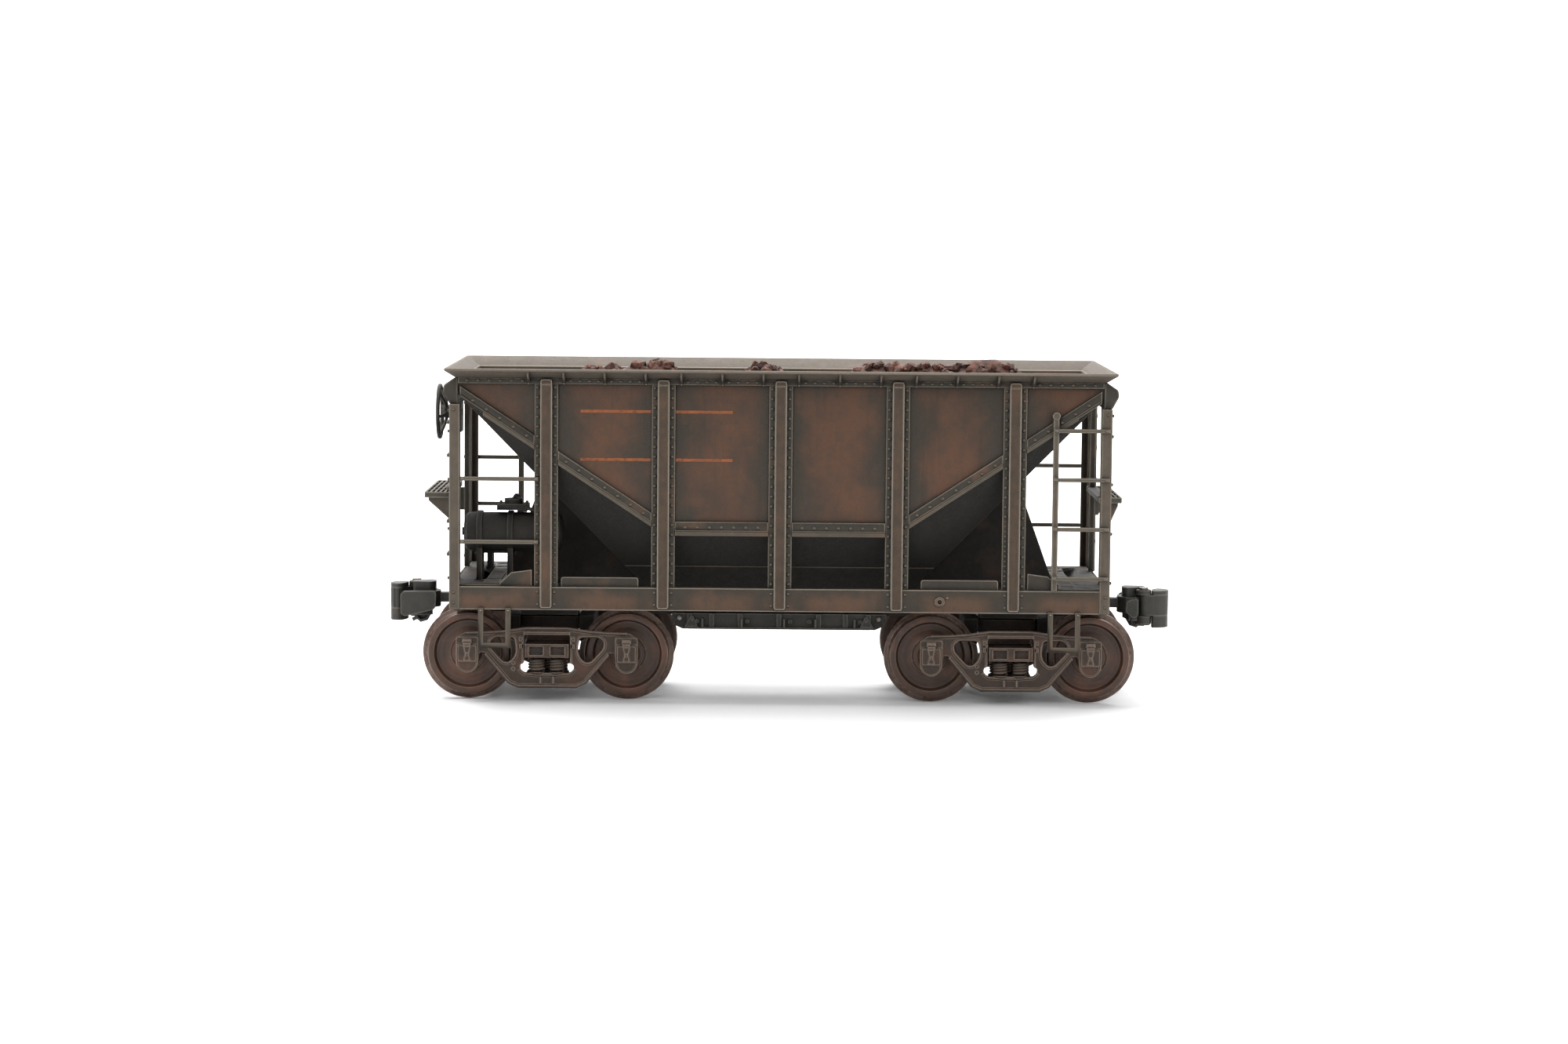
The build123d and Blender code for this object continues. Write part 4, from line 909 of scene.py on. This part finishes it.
def reservoir():
    """Air reservoir: a welded tank with domed heads, seams and pipe boss."""
    low, high = corners("air_reservoir")
    y, z = (low.y + high.y) / 2, (low.z + high.z) / 2
    radius = (high.z - low.z) / 2 - 0.02
    length = high.x - low.x
    head = [(0.0, 0), (0.0, radius * 0.6), (0.2, radius * 0.8), (0.7, radius * 0.94), (1.3, radius * 0.99)]
    seams = [(2.2, radius), (length - 2.2, radius)]
    far = [(length - at, r) for at, r in reversed(head)]
    piece = Piece("air_tank")
    piece.lathe(head + seams + far, (low.x, y, z), (1, 0, 0), 64)
    piece.lathe([(0, 0), (0, 0.9), (0.9, 0.9), (0.9, 0)], (low.x - 0.5, y, z), (1, 0, 0), 6)
    return piece.done("car_body", "detail_paint", angle=30,
                      stands_for=("air_reservoir",))


def brake_pipes():
    """Pipes from the valve to the reservoir and cylinder, and along the sill."""
    piece = Piece("brake_pipes")
    valve_low, valve_high = corners("control_valve")
    tank_y = (valve_low.y + valve_high.y) / 2
    piece.tube([(-57.4, tank_y, 42.8), (-56.9, tank_y + 0.6, 43.6), (-56.8, tank_y + 3.0, 43.4),
                (-56.8, 4.0, 41.4), (-57.4, 8.6, 39.0), (-58.4, 11.0, 36.0)], 0.4, 10)
    piece.tube([(-54.6, tank_y - 2.2, 41.2), (-52.0, tank_y - 3.2, 40.4), (-50.4, tank_y - 3.9, 38.0),
                (-50.0, tank_y - 4.4, 34.0), (-50.4, tank_y - 4.0, 27.5), (-50.8, tank_y - 3.0, 24.8)],
               0.4, 10)
    for z in (30.2, 33.0):
        piece.lathe([(0, 0), (0, 0.75), (0.9, 0.75), (0.9, 0)], (-50.05, tank_y - 4.4, z + 1), (0, 0, 1), 6)
    return piece.done("car_body", "detail_paint", angle=40)


def valve_details():
    """Covers and bolts on the control valve and the brake cylinder."""
    piece = Piece("brake_fittings")
    low, high = corners("control_valve")
    y = (low.y + high.y) / 2
    for x in (-60.2, -54.6):
        for dy in (-1.9, 1.9):
            piece.bolt((x, y + dy, 41.9), (0, 0, 1), 0.32, 0.45)
    piece.lathe([(0, 0), (0, 1.5), (0.5, 1.5), (0.7, 1.1), (0.7, 0)], (-57.4, y, 41.9), (0, 0, 1), 24)
    cylinder_low, cylinder_high = corners("brake_cylinder")
    cy = (cylinder_low.y + cylinder_high.y) / 2
    for n in range(8):
        turn = math.radians(45 * n)
        spot = (-67.1, cy + 3.6 * math.cos(turn), 32.4 + 3.6 * math.sin(turn))
        piece.bolt(spot, (-1, 0, 0), 0.3, 0.4)
    return piece.done("car_body", "detail_paint", angle=35)


# ---------------------------------------------------------------- steps, sill fittings and markings
def end_grating(name, x0, x1, slats):
    """Slatted end step: frame, slats across the car and cross bars."""
    low, high = corners("end_steps")
    piece = Piece(name)
    outline = rounded([(x0, low.y), (x1, low.y), (x1, high.y), (x0, high.y)], 0.3, 2)
    pitch = (x1 - x0 - 0.5) / slats
    holes = []
    for n in range(slats):
        h0 = x0 + 0.25 + n * pitch + 0.22
        h1 = x0 + 0.25 + (n + 1) * pitch - 0.22
        for m in range(5):
            span = (high.y - low.y - 1.2) / 5
            g0 = low.y + 0.6 + m * span + 0.2
            g1 = low.y + 0.6 + (m + 1) * span - 0.2
            holes.append([(h0, g0), (h1, g0), (h1, g1), (h0, g1)])
    piece.plate(outline, "z", low.z + 0.1, high.z, holes)
    return piece


def both_gratings():
    low, high = corners("end_steps")
    piece = end_grating("end_gratings", low.x, -70.7, 5)
    other = end_grating("other", 70.1, high.x, 3)
    piece.join(other.bm)
    for y0, y1 in ((-16.0, -13.85), (-12.15, 12.15), (13.85, 16.0)):
        piece.box((68.4, y0, low.z + 0.1), (70.2, y1, high.z - 0.05))
    return piece.done("car_body", "detail_paint", MATERIALS["grating"], bevel=0.05, angle=40,
                      stands_for=("end_steps",))


def sill_fittings():
    """Small ring fitting on each sill, and bolts at the tops of the stirrup steps."""
    piece = Piece("sill_fittings")
    for side in SIDES:
        x = -side * 34.0
        out = (0, side, 0)
        ring = [(0, 0.5), (0, 1.05), (0.35, 1.05), (0.45, 0.8), (0.45, 0.5)]
        piece.lathe(ring, (x, side * SILL_Y, 22.8), out, 28)
        piece.dome((x - side * 1.6, side * SILL_Y, 23.6), out, 0.3, 0.2)
        for end in SIDES:
            for foot in (57.55, 63.35):
                piece.dome((end * foot, side * (SILL_Y + 0.6), 20.2), out, 0.26, 0.26)
    return piece.done("car_body", "trim_paint", angle=40)


def ladders():
    """Side ladders and grab irons: flat bars with rounded edges, at opposite corners."""
    low, high = corners("side_ladders")
    piece = Piece("side_ladder_bars")
    piece.box((57.62, -POST_Y, SILL_HIGH.z), (58.88, -BAND_Y, 62.9))
    for z in (59.4, 49.0, 38.5, 28.0):
        piece.box((57.75, low.y + 0.02, z - 0.44), (69.7, -POST_Y + 0.05, z + 0.44))
    piece.turned()
    piece.done("car_body", "detail_paint", MATERIALS["ladder"], bevel=0.2, stands_for=("side_ladders",))
    low, high = corners("side_grab_irons")
    piece = Piece("grab_bars")
    for z in (48.2, 34.8):
        piece.box((-67.9, low.y, z - 0.44), (-51.2, -FLANGE_Y, z + 0.44))
    piece.turned()
    piece.done("car_body", "detail_paint", MATERIALS["ladder"], bevel=0.2, stands_for=("side_grab_irons",))


def body_seams():
    """Light bars on the pressed edge of the riveted bands and on the folds of the hopper sheets, a painted
    highlight, and the cross bearers.
    """
    # Light bars in lighter paint along the band creases, the hopper folds and an inner member's top: a
    # painted highlight on those edges.
    piece = Piece("band_highlights")
    for side in SIDES:
        for left, right in zip(POSTS[:-1], POSTS[1:]):
            x0, x1 = left + FLANGE_HALF, right - FLANGE_HALF
            line = [(x, side * (BAND_Y - 0.02), band_middle(x) - 0.75) for x in (x0, x1)]
            piece.tube(line, 0.2, 8)
        for end in SIDES:
            line = [(end * x, side * (BAND_Y - 0.02), band_middle(x) - 0.75)
                    for x in (POSTS[-1] + FLANGE_HALF, BODY_X - 0.6)]
            piece.tube(line, 0.2, 8)
        piece.tube([(-33.1, side * 17.02, 29.1), (33.1, side * 17.02, 29.1)], 0.16, 8)
        y0, y1 = sorted((side * 12.2, side * 12.6))
        piece.box((-24.0, y0, 26.0), (24.0, y1, 26.5))
    piece.done("car_body", "trim_paint", MATERIALS["rivet"], angle=40)
    piece = Piece("cross_bearers")
    for end in SIDES:
        x0, x1 = sorted((end * 21.8, end * 31.0))
        piece.box((x0, -7.2, 17.6), (x1, 7.2, 20.3))
    piece.done("car_body", "underframe_paint", bevel=0.15)


def edge_highlights_and_caps():
    """Light bars on the edges of the crowns and sills, worn paint with a painted highlight; the crowns'
    upper ends; and the bands' lower flanges in lighter paint, a painted highlight.
    """
    # Light bars round the crowns and along the sills: worn paint with a painted highlight.
    piece = Piece("post_edges")
    for side in SIDES:
        y = side * (POST_Y - 0.03)
        for x in POSTS:
            x0, x1 = x - CROWN_HALF, x + CROWN_HALF
            low_z, high_z = 20.95, BAND_HIGH.z - 0.3
            crown = rounded([(x0, low_z), (x1, low_z), (x1, high_z), (x0, high_z)], 0.5, 3)
            piece.tube([(u, y, v) for u, v in crown], 0.13, 6, closed=True)
        y = side * (SILL_Y - 0.05)
        for z in (SILL_LOW.z + 0.1, SILL_HIGH.z - 0.1):
            piece.tube([(SILL_LOW.x, y, z), (SILL_HIGH.x, y, z)], 0.12, 6)
    piece.done("car_body", "trim_paint", MATERIALS["coping_paint"], angle=50)
    piece = Piece("post_caps")
    for side in SIDES:
        y0, y1 = sorted((side * (BAND_Y - 0.05), side * (POST_Y - 0.02)))
        for x in POSTS:
            piece.box((x - 1.15, y0, BAND_HIGH.z - 1.4), (x + 1.15, y1, BAND_HIGH.z - 0.25))
    piece.done("car_body", "trim_paint", bevel=0.1)
    # Lighter strips on the bands' lower flanges: a painted highlight.
    piece = Piece("band_flanges")
    reach = 63.0
    for side in SIDES:
        y0, y1 = sorted((side * (SIDE_Y - 0.1), side * (BAND_Y + 0.14)))
        bays = list(zip(POSTS[:-1], POSTS[1:])) + [(-reach, POSTS[0]), (POSTS[-1], reach)]
        for left, right in bays:
            x0 = left + FLANGE_HALF if left > -reach else left
            x1 = right - FLANGE_HALF if right < reach else right
            spots = [x0] + [x for x in (-SEAM_X, SEAM_X) if x0 < x < x1] + [x1]
            lower = [(x, seam_height(x) - BAND_HEIGHT - 0.45) for x in spots]
            upper = [(x, seam_height(x) - BAND_HEIGHT + 0.5) for x in reversed(spots)]
            piece.plate(lower + upper, "y", y0, y1)
    piece.done("car_body", "trim_paint", MATERIALS["rivet"], bevel=0.16, angle=40)


def rib_highlights():
    """Light bars on the outer edges of the ribs that carry the coping: a painted highlight."""
    low, high = corners("rim_ribs")
    places = [x + offset for x in POSTS for offset in (-3.75, 3.75)]
    places += [POST_PITCH * n for n in (-1.5, -0.5, 0.5, 1.5)]
    # Light beads on the rib edges: a painted highlight.
    piece = Piece("rib_highlights")
    for side in SIDES:
        for x in places:
            piece.tube([(x, side * (BAND_Y + 0.1), low.z + 0.1), (x, side * (BAND_Y + 0.2), low.z + 0.5),
                        (x, side * (high.y - 0.15), high.z - 0.4)], 0.24, 8)
    return piece.done("car_body", "trim_paint", MATERIALS["coping_paint"], angle=50)


def truck_transom(truck, cx):
    """Pressed cross members on both sides of the truck bolster."""
    piece = Piece("truck_%s_transom" % truck)
    for end in SIDES:
        x0, x1 = sorted((cx + end * 6.4, cx + end * 9.6))
        piece.box((x0, -9.5, 14.4), (x1, 9.5, 17.5))
        x0, x1 = sorted((cx + end * 8.0, cx + end * 9.0))
        piece.box((x0, -9.5, 10.2), (x1, 9.5, 14.6))
    return piece.done("truck_%s" % truck, "truck_rust", MATERIALS["underframe_paint"], bevel=0.2)


def door_frame_details():
    """Fins, pins, bottom flange and end gussets on the discharge frame."""
    piece = Piece("door_frame_fittings")
    boss = [(0, 0), (0, 0.5), (0.5, 0.5), (0.6, 0.3), (0.6, 0)]
    for side in SIDES:
        out = (0, side, 0)
        y0, y1 = sorted((side * 8.15, side * 9.1))
        for x in (-16.6, -8.1, 1.1, 7.9, 16.4):
            piece.box((x - 0.2, y0, 15.1), (x + 0.2, y1, 16.9))
        for x in (-17.8, -6.9, 2.4, 6.6, 17.6):
            piece.lathe(boss, (x, side * 8.2, 16.3), out, 16)
        piece.tube([(-19.6, side * 8.75, 14.85), (19.6, side * 8.75, 14.85)], 0.26, 8)
        y0, y1 = sorted((side * 8.6, side * 8.9))
        for end in SIDES:
            gusset = [(end * x, z) for x, z in
                      ((17.4, 14.7), (20.4, 14.7), (20.4, 15.3), (19.2, 17.4), (18.6, 17.4))]
            piece.plate(gusset, "y", y0, y1)
            for x, z in ((17.9, 15.1), (18.9, 15.1), (19.9, 15.1), (18.9, 16.6)):
                piece.dome((end * x, side * 8.9, z), out, 0.24, 0.18, 8, 2)
        for x in (-12.0, -4.2, 4.6, 12.0):
            piece.dome((x, side * 8.75, 14.85), out, 0.22, 0.3, 8, 2)
    return piece.done("car_body", "detail_paint", MATERIALS["coupler_metal"], angle=40)


def ladder_bolts():
    """Bolt heads where the rungs meet stiles and posts."""
    piece = Piece("ladder_bolts")
    face = corners("side_ladders")[0].y
    for z in (59.4, 49.0, 38.5, 28.0):
        for x in (58.25, 69.0):
            piece.dome((x, face, z), (0, -1, 0), 0.45, 0.32)
    cap = [(-0.1, 0), (-0.1, 0.85), (0.25, 0.8), (0.35, 0.4), (0.35, 0)]
    piece.lathe(cap, (58.25, -POST_Y, 62.5), (0, -1, 0), 24)
    grab = corners("side_grab_irons")[0].y
    for z in (48.2, 34.8):
        for x in (-67.3, -51.8):
            piece.dome((x, grab, z), (0, -1, 0), 0.4, 0.3)
    piece.turned()
    return piece.done("car_body", "detail_paint", MATERIALS["ladder"], angle=40)


def markings():
    """Plain painted bars on the side sheets; no lettering."""
    piece = Piece("marking_bars")
    thick = 0.03
    bars = []
    for z in (62.65, 52.45):
        bars += [(-42.4, -27.5, z, 0.62), (-22.2, -10.2, z, 0.62)]
    for y_way in SIDES:
        for x0, x1, z, height in bars:
            a, b = sorted((-y_way * x0, -y_way * x1))
            y0, y1 = sorted((y_way * SIDE_Y, y_way * (SIDE_Y + thick)))
            piece.box((a, y0, z - height / 2), (b, y1, z + height / 2))
    return piece.done("car_body", "body_paint", MATERIALS["stripe"], angle=40)


# ---------------------------------------------------------------- ore
MOUNDS = ((-39.5, 0.0, 7.0, 3.7), (-31.5, 0.0, 5.0, 3.4), (-25.5, 0.0, 4.5, 5.2), (-4.0, 0.0, 7.5, 4.4),
          (18.5, 0.0, 6.5, 3.9), (25.5, 0.0, 6.5, 4.0), (33.0, 0.0, 6.0, 4.3), (41.0, 0.0, 5.5, 4.3),
          (47.5, 0.0, 6.5, 5.6), (8.0, 12.0, 12.0, 1.0))


def ore_height(x, y):
    """Height of the ore's surface."""
    z = 67.0
    for mx, my, spread, rise in MOUNDS:
        z += rise * math.exp(-((x - mx) ** 2 + 1.3 * (y - my) ** 2) / (2 * (spread * 0.55) ** 2))
    broad = noise.noise(Vector((x / 5, y / 5, 3.1)))
    fine = noise.noise(Vector((x / 1.7, y / 1.7, 7.7)))
    return z + (0.55 * broad + 0.35 * fine)


def stone(piece, centre, size, dice):
    """One broken stone: an icosphere squashed and knocked about."""
    made = bmesh.ops.create_icosphere(piece.bm, subdivisions=1, radius=1.0)
    stretch = Vector((dice.uniform(0.7, 1.2), dice.uniform(0.7, 1.2), dice.uniform(0.55, 0.95)))
    turn = dice.uniform(0, 6.28)
    spin = Matrix.Rotation(turn, 3, Vector((dice.random(), dice.random(), dice.random() + 0.1)))
    for vert in made["verts"]:
        knock = dice.uniform(0.78, 1.18)
        vert.co = centre + spin @ (vert.co * stretch * knock) * size


def ore():
    """The load: a closed heap with loose stones on it."""
    low, high = corners("ore_load")
    piece = Piece("ore_heap")
    nx, ny = 170, 60
    x0, x1, y0, y1 = low.x + 0.1, high.x - 0.1, low.y + 0.1, high.y - 0.1
    floor = low.z + 1.0
    grid = []
    for i in range(nx + 1):
        x = x0 + (x1 - x0) * i / nx
        row = [y0 + (y1 - y0) * j / ny for j in range(ny + 1)]
        grid.append([piece.bm.verts.new((x, y, ore_height(x, y))) for y in row])
    for i in range(nx):
        for j in range(ny):
            piece.bm.faces.new((grid[i][j], grid[i + 1][j], grid[i + 1][j + 1], grid[i][j + 1]))
    border = [grid[i][0] for i in range(nx + 1)] + [grid[nx][j] for j in range(1, ny + 1)]
    border += [grid[i][ny] for i in range(nx - 1, -1, -1)] + [grid[0][j] for j in range(ny - 1, 0, -1)]
    taper = 0.945
    foot = [piece.bm.verts.new((v.co.x * taper, v.co.y * 0.985, floor)) for v in border]
    for i in range(len(border)):
        j = (i + 1) % len(border)
        piece.bm.faces.new((border[j], border[i], foot[i], foot[j]))
    piece.bm.faces.new(list(reversed(foot)))
    bmesh.ops.recalc_face_normals(piece.bm, faces=piece.bm.faces)
    dice = random.Random(11)
    for n in range(2300):
        x = dice.uniform(x0 + 1.5, x1 - 1.5)
        y = dice.uniform(y0 + 1.5, y1 - 1.5)
        z = ore_height(x, y)
        heaped = max(0.0, z - 67.6)
        size = dice.uniform(0.45, 0.85) * (1 + 0.25 * min(heaped, 3))
        top_room = high.z - 0.1 - size
        stone(piece, Vector((x, y, min(z + 0.1, top_room))), size, dice)
    return piece.done("ore", "ore", stands_for=("ore_load",), angle=30)


# ---------------------------------------------------------------- stage, light and camera
def stage():
    """White sweep, soft studio lights and the camera."""
    floor = bpy.data.meshes.new("floor")
    sweep = bmesh.new()
    turns = [math.radians(9 * n) for n in range(1, 11)]
    bend = [(1.2 + 0.8 * math.sin(t), 0.8 - 0.8 * math.cos(t)) for t in turns]
    profile = [(-2.0, 0.0), (1.2, 0.0)] + bend + [(2.0, 3.5)]
    rows = [[sweep.verts.new((x, y, z)) for y, z in profile] for x in (-4.0, 4.0)]
    for n in range(len(profile) - 1):
        sweep.faces.new((rows[0][n], rows[1][n], rows[1][n + 1], rows[0][n + 1]))
    sweep.to_mesh(floor)
    sweep.free()
    for face in floor.polygons:
        face.use_smooth = True
    backdrop = bpy.data.objects.new("floor", floor)
    bpy.context.scene.collection.objects.link(backdrop)
    white = Shader("backdrop_white")
    floor.materials.append(white.finish((0.93, 0.93, 0.935), 0.55, 0.0, 0.4))
    white.clear_from_behind()

    world = bpy.data.worlds.new("studio")
    world.use_nodes = True
    world.node_tree.nodes["Background"].inputs["Color"].default_value = (1.0, 1.0, 1.0, 1)
    seen = world.node_tree.nodes.new("ShaderNodeLightPath")
    level = world.node_tree.nodes.new("ShaderNodeMapRange")
    level.inputs["To Min"].default_value = 0.6
    level.inputs["To Max"].default_value = 1.0
    world.node_tree.links.new(seen.outputs["Is Camera Ray"], level.inputs["Value"])
    world.node_tree.links.new(level.outputs[0], world.node_tree.nodes["Background"].inputs["Strength"])
    bpy.context.scene.world = world
    for name, spot, target, size, power in (
        ("key", (-0.30, 0.10, 0.95), (0, 0, 0.03), (0.8, 0.5), 11.0),
        ("fill", (0.9, -0.75, 0.75), (0, 0, 0.04), (0.6, 0.6), 4.0),
        ("front", (-0.6, -1.1, 0.6), (0, 0, 0.04), (0.7, 0.5), 3.4),
        ("back", (0.1, 0.9, 0.8), (0, 0.4, 0.1), (1.4, 0.6), 16.0),
        ("sweep", (0.0, 0.7, 1.3), (0, 1.8, 0.4), (2.6, 0.6), 14.0),
    ):
        data = bpy.data.lights.new(name, "AREA")
        data.shape = "RECTANGLE"
        data.size, data.size_y = size
        data.energy = power
        lamp = bpy.data.objects.new(name, data)
        lamp.location = spot
        lamp.rotation_mode = "QUATERNION"
        lamp.rotation_quaternion = (Vector(target) - Vector(spot)).to_track_quat("-Z", "Y")
        bpy.context.scene.collection.objects.link(lamp)

    pitch, yaw, roll = math.radians(5.228), math.radians(0.254), math.radians(0.515)
    forward = Vector((math.sin(yaw) * math.cos(pitch), math.cos(yaw) * math.cos(pitch), -math.sin(pitch)))
    level = Vector((math.cos(yaw), -math.sin(yaw), 0))
    upright = level.cross(forward)
    right = level * math.cos(roll) + upright * math.sin(roll)
    up = upright * math.cos(roll) - level * math.sin(roll)
    data = bpy.data.cameras.new("camera")
    data.sensor_width = 36.0
    data.lens = 84.84
    data.clip_end = 20
    camera = bpy.data.objects.new("camera", data)
    camera.matrix_world = Matrix.Translation((-0.00263, -0.80498, 0.11089)) @ \
        Matrix((right, up, -forward)).transposed().to_4x4()
    bpy.context.scene.collection.objects.link(camera)
    bpy.context.scene.camera = camera
    bpy.context.scene.view_settings.view_transform = "Standard"


# ---------------------------------------------------------------- assembly
make_materials()
paint_cad_nodes()
for side in SIDES:
    side_rivets(side)
end_rivets()
for number in (1, 2, 3, 4):
    wheelset(number)
for letter, way in (("a", -1), ("b", 1)):
    for side in SIDES:
        side_frame(letter, way * TRUCK_X, side)
    springs(letter, way * TRUCK_X)
    brake_beams(letter, way * TRUCK_X)
    coupler(letter, way)
    knuckle(letter, way)
hand_wheel()
reservoir()
brake_pipes()
valve_details()
both_gratings()
sill_fittings()
ladders()
ladder_bolts()
body_seams()
edge_highlights_and_caps()
rib_highlights()
truck_transom("a", -TRUCK_X)
truck_transom("b", TRUCK_X)
door_frame_details()
markings()
ore()
stage()
